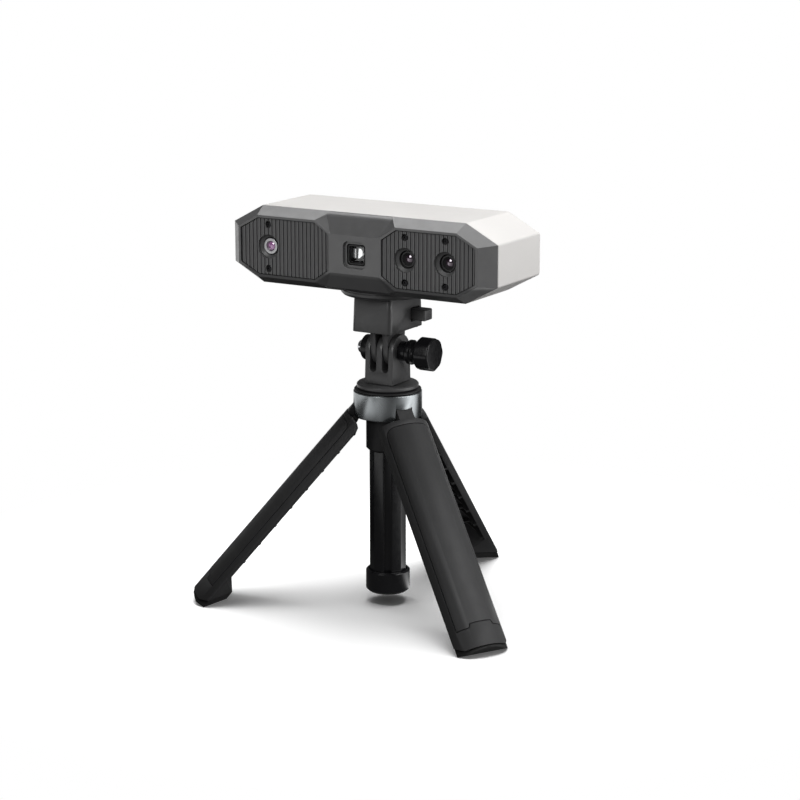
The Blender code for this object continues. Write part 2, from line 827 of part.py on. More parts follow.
def boss_places():
    """Centres of the four bosses under the board's corners."""
    half_u, rear = board_reach()
    inset = boss_radius + board_margin
    return [(x, y) for x in (inset - half_u, half_u - inset) for y in (board_front + inset, rear - inset)]


def electronics(frame):
    """Main board, heat sink, data socket, rear plate, status light, scan button and its switch."""
    under, top = board_levels()
    half_u, rear = board_reach()
    piece("main_board", board_green, box((-half_u, board_front, under), (half_u, rear, top)), frame)
    socket_end = head_depth - port_plate_inset
    socket_start = socket_end - socket_length
    heat_sink(top + gap, sink_rear() - sink_depth, sink_rear(), frame)

    half_w = socket_width / 2
    half_h = socket_height / 2
    socket_z = top + gap + half_h
    full = round_rectangle(half_w, half_h, half_h - socket_wall / 2)
    bore = round_rectangle(half_w - socket_wall, half_h - socket_wall, half_h - socket_wall * 1.5)
    bore_start = socket_start + socket_length / 3
    loops = [(full, socket_start), (full, socket_end), (bore, socket_end), (bore, bore_start)]
    rings = [[(socket_x + u, y, socket_z + v) for u, v in outline] for outline, y in loops]
    piece("data_socket", steel, loft(rings), frame)

    front = socket_end - port_plate_thickness
    plate = round_rectangle(port_plate_width / 2, port_plate_height / 2, port_plate_round)
    plate = [(u, v + port_plate_middle()) for u, v in plate]
    item = piece("port_plate", dark_plastic, prism(plate, front, socket_end, "Y"), frame)
    holes = bmesh.new()
    low = front - overrun
    high = socket_end + overrun
    around = round_rectangle(half_w + gap, half_h + gap, half_h - socket_wall / 2)
    prism([(socket_x + u, socket_z + v) for u, v in around], low, high, "Y", holes)
    button_spot = (scan_button_x, port_plate_middle())
    light_spot = (status_light_x, port_plate_middle())
    rod(scan_button_radius + gap, low, high, "Y", button_spot, small_steps, holes)
    rod(status_light_radius + gap, low, high, "Y", light_spot, tiny_steps, holes)
    combine(item, guide("port_plate_holes", holes, frame), "DIFFERENCE")
    light = rod(status_light_radius, front, socket_end, "Y", light_spot, tiny_steps)
    piece("status_light", light_white, light, frame)

    lip = scan_button_radius + 2 * gap
    inside = front - gap
    flange = inside - scan_button_lip
    outer = socket_end + scan_button_proud
    profile = [(0.0, flange), (lip, flange), (lip, inside), (scan_button_radius, inside),
               (scan_button_radius, outer - gap), (scan_button_radius - gap, outer), (0.0, outer)]
    piece("scan_button", rubber, turned(profile, "Y", button_spot, small_steps), frame)
    half = scan_switch_width / 2
    switch_rear = flange - scan_button_travel - gap
    body = box((scan_button_x - half, switch_rear - scan_switch_depth, top + gap),
               (scan_button_x + half, switch_rear, half + port_plate_middle()))
    piece("scan_switch", black_plastic, body, frame)


def heat_sink(low, front, rear, frame):
    """A finned block on the board."""
    fin_top = low + sink_base + sink_fin_height
    half = sink_width / 2
    pitch = sink_width / (2 * sink_fin_count - 1)
    outline = [(-half, low), (half, low)]
    for index in range(sink_fin_count):
        right = half - 2 * index * pitch
        outline += [(right, fin_top), (right - pitch, fin_top)]
        if index < sink_fin_count - 1:
            outline += [(right - pitch, low + sink_base), (right - 2 * pitch, low + sink_base)]
    piece("heat_sink", aluminium, prism(outline, front, rear, "Y"), frame)


def insert_top():
    """Top of the threaded insert, measured from the head's middle."""
    return shell_wall - head_height / 2 + gap + insert_flange


def tripod_insert(frame):
    """The threaded brass insert in the housing's floor, flanged inside."""
    bore = plate_screw_radius + gap
    low = -head_height / 2
    top = insert_top()
    inside = top - insert_flange
    out = insert_radius + insert_flange
    profile = [(bore, low), (insert_radius, low), (insert_radius, inside), (out, inside), (out, top),
               (bore, top)]
    piece("thread_insert", brass, turned(profile, "Z", (0.0, front_reach), small_steps), frame)


def head(frame):
    """All the pieces of the scanner head."""
    front_bezel(frame)
    ribbed_panel("left_ribbed_panel", -1, frame)
    ribbed_panel("right_ribbed_panel", 1, frame)
    rear_shell(frame)
    colour_x, near_x, far_x = lens_places()
    lens_set("colour_lens", colour_x, colour_barrel_front, titanium_grey, frame)
    lens_set("depth_lens_1", near_x, depth_barrel_front, black_plastic, frame)
    lens_set("depth_lens_2", far_x, depth_barrel_front, black_plastic, frame)
    projector(frame)
    optics_bench(frame)
    face_screws(frame)
    electronics(frame)
    tripod_insert(frame)
    release_plate(frame)


# Release plate, block and clamp


def release_plate(frame):
    """The round plate under the head, and its screw whose grooved head is the locking stud."""
    top = -head_height / 2 - gap
    bottom = top - plate_thickness
    bore = plate_screw_radius + gap
    plate = [(bore, top), (plate_radius, top), (plate_radius, bottom + plate_edge),
             (plate_radius - plate_edge, bottom), (bore, bottom)]
    piece("release_plate", dark_plastic, turned(plate, "Z", (0.0, front_reach), ring_steps), frame)
    stud_top = bottom - gap
    stud_end = bottom - stud_length
    third = stud_length / 3
    waist = stud_radius - stud_waist
    screw = [(0.0, insert_top()), (plate_screw_radius, insert_top()), (plate_screw_radius, stud_top),
             (stud_radius, stud_top), (stud_radius, bottom - third), (waist, bottom - third),
             (waist, stud_end + third), (stud_radius, stud_end + third), (stud_radius, stud_end),
             (0.0, stud_end)]
    piece("plate_screw", steel, turned(screw, "Z", (0.0, front_reach), small_steps), frame)


def prong_outline(radius, foot_half, foot, steps=14):
    """A prong seen from the side: round about the tilt axis, then flaring to its foot."""
    side = 1 if foot > 0 else -1
    start = math.pi if side > 0 else 0.0
    round_end = arc((0.0, 0.0), radius, start, start + math.pi, steps)
    feet = [(side * foot_half, foot), (-side * foot_half, foot)]
    return round_end + feet


def release_block(frame):
    """The quick-release block: stud pocket, button channel and two prongs, with its button."""
    low = axis_to_block
    high = axis_to_block + block_height
    half_u = block_width / 2
    half_v = block_depth / 2
    rings = []
    for flare, height in ((block_flare, low), (0.0, high)):
        outline = round_rectangle(half_u + flare, half_v + flare, block_round)
        rings.append([(u, v, height) for u, v in outline])
    item = piece("release_block", dark_plastic, loft(rings), frame)
    prongs = bmesh.new()
    outline = prong_outline(prong_radius, prong_foot_half, low + overrun)
    for side in (-1, 1):
        middle = side * prong_pitch_half
        prism(outline, middle - prong_thickness / 2, middle + prong_thickness / 2, "X", prongs)
    combine(item, guide("block_prongs", prongs, frame), "UNION")
    lip = box((block_round - half_u, half_v - block_lip_depth, low - block_lip_drop),
              (half_u - block_round, half_v, low + overrun))
    combine(item, guide("block_lip", lip, frame), "UNION")

    half = button_width / 2
    button_high = high - button_drop
    button_low = button_high - button_height
    middle_z = (button_low + button_high) / 2
    pressed = button_reach - button_travel
    holes = bmesh.new()
    rod(stud_radius + gap, high - stud_length - 2 * gap, high + overrun, "Z", (0.0, 0.0), mesh_data=holes)
    rod(bolt_radius + gap, -half_u, half_u, "X", (0.0, 0.0), small_steps, holes)
    combine(item, guide("block_holes", holes, frame), "DIFFERENCE")
    channel = box((pressed - gap, button_offset - half - gap, button_low - gap),
                  (half_u + block_flare + overrun, button_offset + half + gap, button_high + gap))
    combine(item, guide("button_channel", channel, frame), "DIFFERENCE")
    well_end = pressed - spring_length - gap
    well_radius = spring_radius + spring_wire + gap
    well = rod(well_radius, well_end, pressed, "X", (button_offset, middle_z), small_steps)
    combine(item, guide("spring_well", well, frame), "DIFFERENCE")

    body = box((button_reach, button_offset - half, button_low),
               (half_u + button_proud, button_offset + half, button_high))
    bmesh.ops.bevel(body, geom=body.edges[:], offset=block_flare, segments=1, affect="EDGES")
    piece("release_button", dark_plastic, body, frame)
    button_spring(frame, middle_z)


def button_spring(frame, middle_z):
    """A small coil behind the button; it rides with the button at its working length."""
    curve = bpy.data.curves.new("button_spring", "CURVE")
    curve.dimensions = "3D"
    curve.bevel_depth = spring_wire
    curve.bevel_resolution = 1
    curve.use_fill_caps = True
    spline = curve.splines.new("POLY")
    count = spring_turns * 9
    spline.points.add(count)
    run = spring_length - 2 * spring_wire - 2 * gap
    for index in range(count + 1):
        share = index / count
        angle = 2 * math.pi * spring_turns * share
        x = button_reach - gap - spring_wire - run * share
        y = button_offset + spring_radius * math.cos(angle)
        z = middle_z + spring_radius * math.sin(angle)
        spline.points[index].co = (x, y, z, 1.0)
    item = bpy.data.objects.new("button_spring", curve)
    item.parent = frame
    curve.materials.append(material("button_spring", steel))
    bpy.context.scene.collection.objects.link(item)


def fork(frame, tilt_frame):
    """The three-prong fork, its disc, and the screw that ties them to the column."""
    foot = -axis_to_disc
    half_u = fork_width / 2
    outline = prong_outline(fork_prong_radius, fork_base_depth / 2, foot)
    item = piece("fork", dark_plastic, prism(outline, -half_u, half_u, "X"), tilt_frame)
    cuts = bmesh.new()
    slot_half = prong_thickness / 2 + gap
    for side in (-1, 1):
        middle = side * prong_pitch_half
        centre = (middle, slot_half - fork_slot_depth)
        slot = arc(centre, slot_half, math.pi, 2 * math.pi, 8)
        mouth = fork_prong_radius + overrun
        slot += [(middle + slot_half, mouth), (middle - slot_half, mouth)]
        prism(slot, -fork_base_depth, fork_base_depth, "Y", cuts)
    pocket_radius = disc_screw_head_radius + gap
    pocket_top = foot + disc_screw_head_height + 2 * gap
    rod(pocket_radius, foot - overrun, pocket_top, "Z", (0.0, 0.0), mesh_data=cuts)
    combine(item, guide("fork_cuts", cuts, tilt_frame), "DIFFERENCE")
    bore = rod(bolt_radius + gap, -half_u - overrun, half_u + overrun, "X")
    combine(item, guide("fork_bore", bore, tilt_frame), "DIFFERENCE")

    profile = [(disc_screw_radius + gap, 0.0), (disc_radius - disc_edge, 0.0), (disc_radius, disc_edge),
               (disc_radius, disc_thickness - disc_edge), (disc_radius - disc_edge, disc_thickness),
               (disc_screw_radius + gap, disc_thickness)]
    piece("fork_disc", dark_plastic, turned(profile), frame)
    seat = disc_thickness + gap
    top = seat + disc_screw_head_height
    tip = disc_thickness - disc_screw_length
    screw = [(0.0, tip), (disc_screw_radius, tip), (disc_screw_radius, seat), (disc_screw_head_radius, seat),
             (disc_screw_head_radius, top), (0.0, top)]
    piece("fork_screw", steel, turned(screw, steps=small_steps), frame)


def lobed_circle(radius, depth, along, steps):
    """A ring of points about the X axis, drawn in between its lobes."""
    points = []
    for index in range(steps):
        angle = 2 * math.pi * index / steps
        reach = radius - depth * (1 - math.cos(knob_lobes * angle)) / 2
        points.append((along, reach * math.cos(angle), reach * math.sin(angle)))
    return points


def clamp(frame):
    """The bolt across the fork with its lobed knob, nut holder and dome nut."""
    half_u = fork_width / 2
    holder_low = -half_u - gap - nut_holder_length
    bolt_low = holder_low + gap
    knob_low = half_u + gap
    bolt_high = knob_low + bolt_bore - gap
    piece("clamp_bolt", steel, rod(bolt_radius, bolt_low, bolt_high, "X", steps=small_steps), frame)

    bore = bolt_radius + gap
    neck_end = knob_low + knob_neck_length
    flare_end = neck_end + knob_flare_length
    knob_end = knob_low + knob_length
    grip_start = knob_end - knob_grip_length
    rings = [(bore, 0.0, knob_low + bolt_bore), (bore, 0.0, knob_low), (knob_neck_radius, 0.0, knob_low),
             (knob_neck_radius, 0.0, neck_end), (knob_flare_radius, 0.0, neck_end + knob_edge),
             (knob_flare_radius, 0.0, flare_end), (knob_waist_radius, 0.0, flare_end + knob_edge),
             (knob_radius - knob_edge, knob_lobe_depth, grip_start),
             (knob_radius, knob_lobe_depth, grip_start + knob_edge),
             (knob_radius, knob_lobe_depth, knob_end - knob_edge), (knob_radius - knob_edge, 0.0, knob_end)]
    steps = knob_lobes * 4
    loops = [lobed_circle(radius, depth, along, steps) for radius, depth, along in rings]
    piece("clamp_knob", black_plastic, loft(loops), frame)

    holder = tube(nut_holder_radius, nut_radius + gap, holder_low, -half_u - gap, "X", steps=lens_steps)
    piece("nut_holder", black_plastic, holder, frame)
    nut_high = -half_u - 2 * gap
    nut_low = holder_low - nut_proud
    profile = [(0.0, bolt_low - gap), (bore, bolt_low - gap), (bore, nut_high), (nut_radius, nut_high)]
    dome = arc((0.0, nut_low + nut_radius), nut_radius, 0.0, -math.pi / 2, 4)
    profile += dome[:-1]
    profile.append((0.0, nut_low))
    piece("dome_nut", chrome, turned(profile, "X", steps=small_steps), frame)


# Hub, column and cap


def at_hinge(mesh_data, angle):
    """Move a shape drawn about a pin, with X pointing out, to the hinge at an angle round the hub."""
    cos_a = math.cos(angle)
    sin_a = math.sin(angle)
    for vert in mesh_data.verts:
        x = vert.co.x + hinge_radius
        y = vert.co.y
        vert.co = (x * cos_a - y * sin_a, x * sin_a + y * cos_a, vert.co.z + hinge_height)
    return mesh_data


def hinge_slots(target, frame):
    """Cut the slots for the leg tabs, open towards the outside as far up as an open leg needs."""
    reach = tab_radius + slot_play
    half = tab_width / 2 + slot_play
    bottom = -hinge_above_ring_bottom - overrun
    out = knuckle_radius + overrun
    brink = reach * sin_splay - (out - reach * cos_splay) * cos_splay / sin_splay
    outline = arc((0.0, 0.0), reach, splay, math.pi, tiny_steps)
    outline += [(-reach, bottom), (out, bottom), (out, brink)]
    for index, angle in enumerate(leg_angles):
        slot = at_hinge(prism(outline, -half, half, "Y"), angle)
        combine(target, guide(f"{target.name}_slot_{index + 1}", slot, frame), "DIFFERENCE")


def pin_holes(target, frame):
    """Cut the holes for the hinge pins."""
    half = pin_half_length + slot_play
    for index, angle in enumerate(leg_angles):
        hole = at_hinge(rod(pin_radius + gap, -half, half, "Y", steps=tiny_steps), angle)
        combine(target, guide(f"{target.name}_pin_hole_{index + 1}", hole, frame), "DIFFERENCE")


def column_outline(spread=0.0, grooved=True):
    """Truncated hexagon with a groove in three of its corners, drawn out evenly by the spread."""
    edge = column_corner_cut + spread
    half = 2 * (column_half_width + spread) - math.sqrt(3.0) * edge
    groove_half = column_groove_width / 2
    points = []
    for corner in range(6):
        direction = corner * math.pi / 3
        face = [(-half, edge), (half, edge)]
        if grooved and corner % 2:
            floor = edge - column_groove_depth
            face[1:1] = [(-groove_half, edge), (-groove_half, floor), (groove_half, floor),
                         (groove_half, edge)]
        for across, radial in face:
            x = radial * math.cos(direction) - across * math.sin(direction)
            y = radial * math.sin(direction) + across * math.cos(direction)
            points.append((x, y))
    return points


def hub(frame):
    """The silver ring, the black core with flange and collar, and the hinge pins."""
    edge = hub_ring_edge
    profile = [(hub_ring_bore, ring_bottom), (hub_radius - edge, ring_bottom),
               (hub_radius, ring_bottom + edge), (hub_radius, ring_top - edge),
               (hub_radius - edge, ring_top), (hub_ring_bore, ring_top)]
    ring = piece("hub_ring", titanium_grey, turned(profile, steps=ring_steps), frame)
    hinge_slots(ring, frame)
    pin_holes(ring, frame)

    collar_bottom = ring_bottom - collar_length
    inner = hub_ring_bore - gap
    flange_edge = hub_flange_edge
    profile = [(0.0, collar_bottom), (collar_radius - collar_edge, collar_bottom),
               (collar_radius, collar_bottom + collar_edge), (collar_radius, ring_bottom),
               (inner, ring_bottom), (inner, flange_bottom), (hub_flange_radius, flange_bottom),
               (hub_flange_radius, flange_top - flange_edge), (hub_flange_radius - flange_edge, flange_top),
               (0.0, flange_top)]
    core = piece("hub_core", black_plastic, turned(profile), frame)
    bore = prism(column_outline(gap, grooved=False), collar_bottom - overrun, flange_top + overrun)
    combine(core, guide("hub_bore", bore, frame), "DIFFERENCE")
    hinge_slots(core, frame)
    for index, angle in enumerate(leg_angles):
        pin = rod(pin_radius, -pin_half_length, pin_half_length, "Y", steps=tiny_steps)
        piece(f"hinge_pin_{index + 1}", steel, at_hinge(pin, angle), frame)


def column(frame):
    """The sliding column, hollow from below, and the cap on its foot."""
    column_low = cap_bottom + cap_floor + gap
    plug_low = column_top - column_plug_length
    item = piece("column", black_plastic, prism(column_outline(), column_low, column_top), frame)
    screw_bore = disc_screw_radius + gap
    profile = [(0.0, column_low - overrun), (column_bore, column_low - overrun), (column_bore, plug_low),
               (screw_bore, plug_low), (screw_bore, column_top + overrun), (0.0, column_top + overrun)]
    combine(item, guide("column_bore", turned(profile, steps=small_steps), frame), "DIFFERENCE")
    corner = max(math.hypot(x, y) for x, y in column_outline()) + gap
    cap_top = cap_bottom + cap_height
    profile = [(0.0, cap_bottom), (cap_radius - cap_edge, cap_bottom), (cap_radius, cap_bottom + cap_edge),
               (cap_radius, cap_top - cap_edge / 2), (cap_radius - cap_edge / 2, cap_top), (corner, cap_top),
               (corner, cap_bottom + cap_floor), (0.0, cap_bottom + cap_floor)]
    piece("end_cap", black_plastic, turned(profile), frame)


# Legs


def floor_line(x, height):
    """The place down a leg, at distance x from its pin, that stands at a height off the floor."""
    return (height - hinge_height - x * sin_splay) / cos_splay


def panel_angles(half_angle, breaks=()):
    """Angles at which a curved panel has its columns of points, the breaks among them."""
    spacing = half_angle / leg_steps
    even = [half_angle * (2 * index / leg_steps - 1) for index in range(1, leg_steps)]
    kept = [angle for angle in even if all(abs(angle - at) > spacing for at in breaks)]
    return sorted([-half_angle, half_angle] + kept + list(breaks))


def arc_panel(outer, inner, angles, top, bottom, mesh_data=None):
    """A curved panel about the folded leg's axis, with its top and bottom as functions of the angle."""
    columns = []
    result = mesh_data or bmesh.new()
    for angle in angles:
        corners = []
        for radius in (outer, inner):
            x = radius * math.cos(angle) - hinge_radius
            y = radius * math.sin(angle)
            corners.append((x, y, top(angle)))
            corners.append((x, y, bottom(angle)))
        columns.append([result.verts.new(point) for point in corners])
    for near, far in zip(columns, columns[1:]):
        for first, second in ((0, 1), (1, 3), (3, 2), (2, 0)):
            result.faces.new((near[first], near[second], far[second], far[first]))
    result.faces.new((columns[0][0], columns[0][2], columns[0][3], columns[0][1]))
    result.faces.new((columns[-1][0], columns[-1][1], columns[-1][3], columns[-1][2]))
    return result


def corner_drop(distance, radius):
    """How far a round corner has fallen at a distance from the edge."""
    if distance >= radius:
        return 0.0
    return radius - math.sqrt(radius * radius - (radius - distance) ** 2)


def corner_breaks(half_angle, radius, count=2):
    """Angles at which a round corner needs a column of points."""
    distances = [radius * (1 - math.cos(math.pi / 2 * index / count)) for index in range(1, count + 1)]
    return [side * (half_angle - distance / hub_radius) for distance in distances for side in (-1, 1)]


def sector(outer, spacing):
    """A 120 degree slice about the folded leg's axis, clear of its neighbours by the spacing."""
    reach = math.pi / 3
    apex = spacing / math.sin(reach)
    swing = math.asin(spacing / outer)
    rim = arc((-hinge_radius, 0.0), outer, swing - reach, reach - swing, leg_steps)
    return [(apex - hinge_radius, 0.0)] + rim


def cover_panel(inner, outer, extra):
    """The cover, or the recess for it when drawn out by the extra."""
    half_angle = cover_half_angle + extra / hub_radius
    high = extra - leg_top - cover_top_drop
    low = cover_to_end - leg_length - extra
    tongue = cover_tongue_angle - extra / hub_radius
    slant = tongue + cover_tongue_rise / hub_radius / 2
    radius = cover_round + extra

    def top(angle):
        return high - corner_drop(hub_radius * (half_angle - abs(angle)), radius)

    def bottom(angle):
        if abs(angle) <= tongue:
            return low + cover_tongue_rise
        return low

    breaks = corner_breaks(half_angle, radius, 3) + [tongue, -tongue, slant, -slant]
    return arc_panel(outer, inner, panel_angles(half_angle, breaks), top, bottom)


def brace_angles(count):
    """Angles of a brace's columns of points; the two directions use unlike counts."""
    swing = leg_half_angle - brace_margin - brace_draw_in / count
    return [swing * (2 * index / count - 1) for index in range(count + 1)]


def cross_braces(name, lean, angles, clear_radius, frame):
    """The braces that lean one way inside a leg, one below the other."""
    braces = bmesh.new()
    swing = angles[-1]
    room = leg_length - heel_length - leg_top - brace_start
    for step in range(round(room / brace_pitch)):
        middle = -leg_top - brace_start - (step + 1 / 2) * brace_pitch

        def top(angle, centre=middle):
            return centre + brace_wall / 2 + lean * brace_pitch / 2 * angle / swing

        def bottom(angle, centre=middle):
            return centre - brace_wall / 2 + lean * brace_pitch / 2 * angle / swing

        arc_panel(hub_radius - leg_wall / 2, clear_radius, angles, top, bottom, braces)
    return guide(name, braces, frame)


def leg(index, frame):
    """One leg: channel shell, heel block, cross braces and hinge tab, with its cover and foot pad."""
    name = f"leg_{index + 1}"
    below = -leg_length - overrun

    def shell_top(angle):
        return -leg_top - corner_drop(hub_radius * (leg_half_angle - abs(angle)), leg_top_round)

    def shell_bottom(angle):
        return below

    angles = panel_angles(leg_half_angle, corner_breaks(leg_half_angle, leg_top_round))
    shell = arc_panel(hub_radius, hub_radius - leg_wall, angles, shell_top, shell_bottom)
    item = piece(name, soft_black, shell, frame)

    low_x = -hinge_radius
    high_x = hub_radius
    slope = math.tan(heel_slope)
    heel = guide(f"{name}_heel", prism(sector(hub_radius - leg_wall / 2, sector_gap), 2 * below, 0.0), frame)
    heel_top = heel_length - leg_length
    heel_side = [(low_x, 2 * below), (high_x, 2 * below), (high_x, (high_x - leg_edge_x) * slope + heel_top),
                 (low_x, (low_x - leg_edge_x) * slope + heel_top)]
    side = guide(f"{name}_heel_side", prism(heel_side, -hub_radius, hub_radius, "Y"), frame)
    combine(heel, side, "INTERSECT")
    combine(item, heel, "UNION")
    rising = brace_angles(brace_rising_count)
    falling = brace_angles(brace_falling_count)
    fall_radius = brace_clear_radius + brace_step
    combine(item, cross_braces(f"{name}_rising_braces", 1, rising, brace_clear_radius, frame), "UNION")
    combine(item, cross_braces(f"{name}_falling_braces", -1, falling, fall_radius, frame), "UNION")

    knuckle = arc((0.0, 0.0), tab_radius, 0.0, math.pi * 4 / 3, tiny_steps)
    tab_low = -leg_top - overrun
    tab = [(tab_radius, tab_low)] + knuckle + [(-tab_radius / 2, tab_low)]
    tab_block = guide(f"{name}_tab", prism(tab, -tab_width / 2, tab_width / 2, "Y"), frame)
    combine(item, tab_block, "UNION")
    bore = rod(pin_radius + gap, -tab_width, tab_width, "Y", (0.0, 0.0), tiny_steps)
    combine(item, guide(f"{name}_pin_bore", bore, frame), "DIFFERENCE")

    knee_x = (heel_part_height - hinge_height + leg_length * cos_splay) / sin_splay
    under = [(2 * low_x, floor_line(2 * low_x, heel_part_height)), (knee_x, -leg_length),
             (high_x, -leg_length), (high_x, 3 * below), (2 * low_x, 3 * below)]
    trim = guide(f"{name}_trim", prism(under, -2 * hub_radius, 2 * hub_radius, "Y"), frame)
    combine(item, trim, "DIFFERENCE")
    recess = cover_panel(hub_radius - cover_thickness - gap, hub_radius + overrun, gap)
    combine(item, guide(f"{name}_recess", recess, frame), "DIFFERENCE")
    piece(f"{name}_cover", soft_black, cover_panel(hub_radius - cover_thickness, hub_radius, 0.0), frame)
    foot_pad(index, frame)


def foot_pad(index, frame):
    """The rubber foot: flat on the floor when the leg is open, and wrapped over the leg's end."""
    name = f"foot_pad_{index + 1}"
    tip_x = -hinge_radius
    seat = heel_part_height - gap
    end = -leg_length - gap
    knee_x = (seat - hinge_height - end * cos_splay) / sin_splay
    toe_x = knuckle_radius - pad_taper
    nose_x = toe_x - pad_nose_run
    flat_x = leg_edge_x - pad_flat_set
    outline = [(tip_x, floor_line(tip_x, seat)), (knee_x, end), (knuckle_radius, end), (toe_x, end - pad_toe),
               (nose_x, end - pad_toe - pad_nose_drop), (flat_x, floor_line(flat_x, 0.0)),
               (tip_x, floor_line(tip_x, 0.0))]
    item = piece(name, rubber, prism(sector(hub_radius - pad_edge, sector_gap), -2 * leg_length, 0.0), frame)
    side = guide(f"{name}_side", prism(outline, -hub_radius, hub_radius, "Y"), frame)
    combine(item, side, "INTERSECT")


def main():
    """Build the whole object."""
    clear_scene()
    frame = frames()
    head(frame["head"])
    release_block(frame["tilt"])
    fork(frame["fork"], frame["tilt"])
    clamp(frame["tilt"])
    hub(frame["hub"])
    column(frame["column"])
    for index in range(len(leg_angles)):
        leg(index, frame["leg", index])


main()
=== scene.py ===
"""Finished surfaces for a three-d scanner head on a quick-release block and a folding mini tripod.

Lengths are metres, +Z is up, the scanner looks along -Y and the floor is z = 0. The file is laid out
as an add-on: settings, one operator for each group of pieces, one for the stage, and a panel.
"""

import math

import bmesh
import bpy
import numpy as np
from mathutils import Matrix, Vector


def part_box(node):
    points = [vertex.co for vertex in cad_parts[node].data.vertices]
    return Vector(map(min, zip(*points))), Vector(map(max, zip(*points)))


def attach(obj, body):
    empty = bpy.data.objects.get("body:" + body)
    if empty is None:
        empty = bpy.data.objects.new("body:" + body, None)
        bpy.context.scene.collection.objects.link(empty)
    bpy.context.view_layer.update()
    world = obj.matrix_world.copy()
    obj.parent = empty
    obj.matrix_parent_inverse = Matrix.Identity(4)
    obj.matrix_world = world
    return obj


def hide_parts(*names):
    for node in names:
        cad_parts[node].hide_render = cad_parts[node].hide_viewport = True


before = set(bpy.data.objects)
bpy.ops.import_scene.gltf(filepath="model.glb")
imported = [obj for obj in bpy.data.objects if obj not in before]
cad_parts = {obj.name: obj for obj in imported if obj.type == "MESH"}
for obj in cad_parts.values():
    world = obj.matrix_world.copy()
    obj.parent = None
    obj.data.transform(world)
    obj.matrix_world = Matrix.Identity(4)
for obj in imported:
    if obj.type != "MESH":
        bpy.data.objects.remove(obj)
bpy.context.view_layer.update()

bl_info = {
    "name": "Three-d scanner on a mini tripod",
    "version": (1, 0, 0),
    "blender": (4, 5, 0),
    "location": "3D View > Sidebar > Scanner",
    "description": "Builds the finished surfaces of a scanner head on a folding mini tripod",
    "category": "Object",
}

mm = 0.001
gap = 0.3 * mm  # between a finished surface and the piece that it sits in
white = (1.0, 1.0, 1.0, 1.0)


# Places read from the frame


def box(node):
    """Lowest and highest corner of a CAD node, as two rows."""
    return np.array([list(corner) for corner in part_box(node)])


def widest(node):
    """How far a CAD node reaches from the tripod's upright axis."""
    points = np.array([vertex.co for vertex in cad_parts[node].data.vertices])
    return np.hypot(points[:, 0], points[:, 1] - tripod_y).max()


bezel_box = box("front_bezel")
shell_box = box("rear_shell")
ring_box = box("hub_ring")
bolt_box = box("clamp_bolt")
front_y = bezel_box[0, 1]
head_z = bezel_box[:, 2].mean()
half_width = bezel_box[1, 0]
half_height = (bezel_box[1, 2] - bezel_box[0, 2]) / 2
head_depth = shell_box[1, 1] - front_y
tripod_y = ring_box[:, 1].mean()
tilt_z = bolt_box[:, 2].mean()


# Outlines and profiles


def unit(vectors):
    """Each row divided by its length."""
    return vectors / np.maximum(np.linalg.norm(vectors, axis=-1, keepdims=True), 1e-12)


def soft_corners(corners, radius, steps=6):
    """Closed outline whose corners are arcs.

    Each arc's centre lies on its corner's bisector, the radius over the sine of half the corner away,
    and the arc runs between the feet of the centre on the corner's two edges.
    """
    corners = np.asarray(corners, float)
    radius = np.broadcast_to(np.asarray(radius, float), len(corners))
    back = unit(np.roll(corners, 1, axis=0) - corners)
    ahead = unit(np.roll(corners, -1, axis=0) - corners)
    half = np.arccos(np.clip((back * ahead).sum(1), -1, 1)) / 2
    centre = corners + unit(back + ahead) * (radius / np.maximum(np.sin(half), 1e-9))[:, None]
    reach = (radius / np.maximum(np.tan(half), 1e-9))[:, None]
    start = corners + back * reach - centre
    end = corners + ahead * reach - centre
    first = np.arctan2(start[:, 1], start[:, 0])
    sweep = (np.arctan2(end[:, 1], end[:, 0]) - first + math.pi) % (2 * math.pi) - math.pi
    angles = first[:, None] + sweep[:, None] * np.linspace(0, 1, steps + 1)
    arcs = np.stack([np.cos(angles), np.sin(angles)], axis=-1) * radius[:, None, None]
    return (centre[:, None] + arcs).reshape(-1, 2)


def inset(corners, distance):
    """Anticlockwise corners moved inwards so that every edge shifts by the distance."""
    corners = np.asarray(corners, float)
    edge = unit(np.roll(corners, -1, axis=0) - corners)
    inward = np.stack([-edge[:, 1], edge[:, 0]], axis=1)
    before = np.roll(inward, 1, axis=0)
    scale = distance / (1 + (before * inward).sum(1))
    return corners + (before + inward) * scale[:, None]


def octagon(half_u, half_v, cut_u, cut_v):
    """Eight corners of a rectangle with slanting corners, anticlockwise from the lower right."""
    quarter = np.array([(half_u, cut_v - half_v), (half_u, half_v - cut_v), (half_u - cut_u, half_v)])
    return np.concatenate([quarter, [(cut_u - half_u, half_v)], -quarter[:2], [(cut_u - half_u, -half_v)],
                           [(half_u - cut_u, -half_v)]])


def circle(radius, steps=64):
    """Points of a circle about the middle."""
    angles = np.linspace(0, 2 * math.pi, steps, endpoint=False)
    return np.stack([np.cos(angles), np.sin(angles)], axis=1) * radius


def round_box(half_u, half_v, radius, steps=6):
    """Rectangle with round corners, anticlockwise from the right."""
    corners = [(half_u, -half_v), (half_u, half_v), (-half_u, half_v), (-half_u, -half_v)]
    return soft_corners(corners, radius, steps)


def set_along(outline, along, axis, middle=(0.0, 0.0, 0.0)):
    """An outline (across, up) set square to an axis, at places along it, about a middle point."""
    across = np.broadcast_to(outline[..., 0], np.shape(outline)[:-1])
    up = outline[..., 1]
    along = np.broadcast_to(along, across.shape)
    order = {"X": (along, across, up), "Y": (across, along, up), "Z": (across, up, along)}[axis]
    return np.stack(order, axis=-1) + np.asarray(middle, float)


def turned(profile, axis="Z", middle=(0.0, 0.0, 0.0), steps=64):
    """Rings about an axis: each profile point (radius, place along) becomes a circle."""
    profile = np.asarray(profile, float)
    rings = circle(1.0, steps)[None] * profile[:, :1, None]
    return set_along(rings, profile[:, 1:2], axis, middle)


# Meshes and pieces


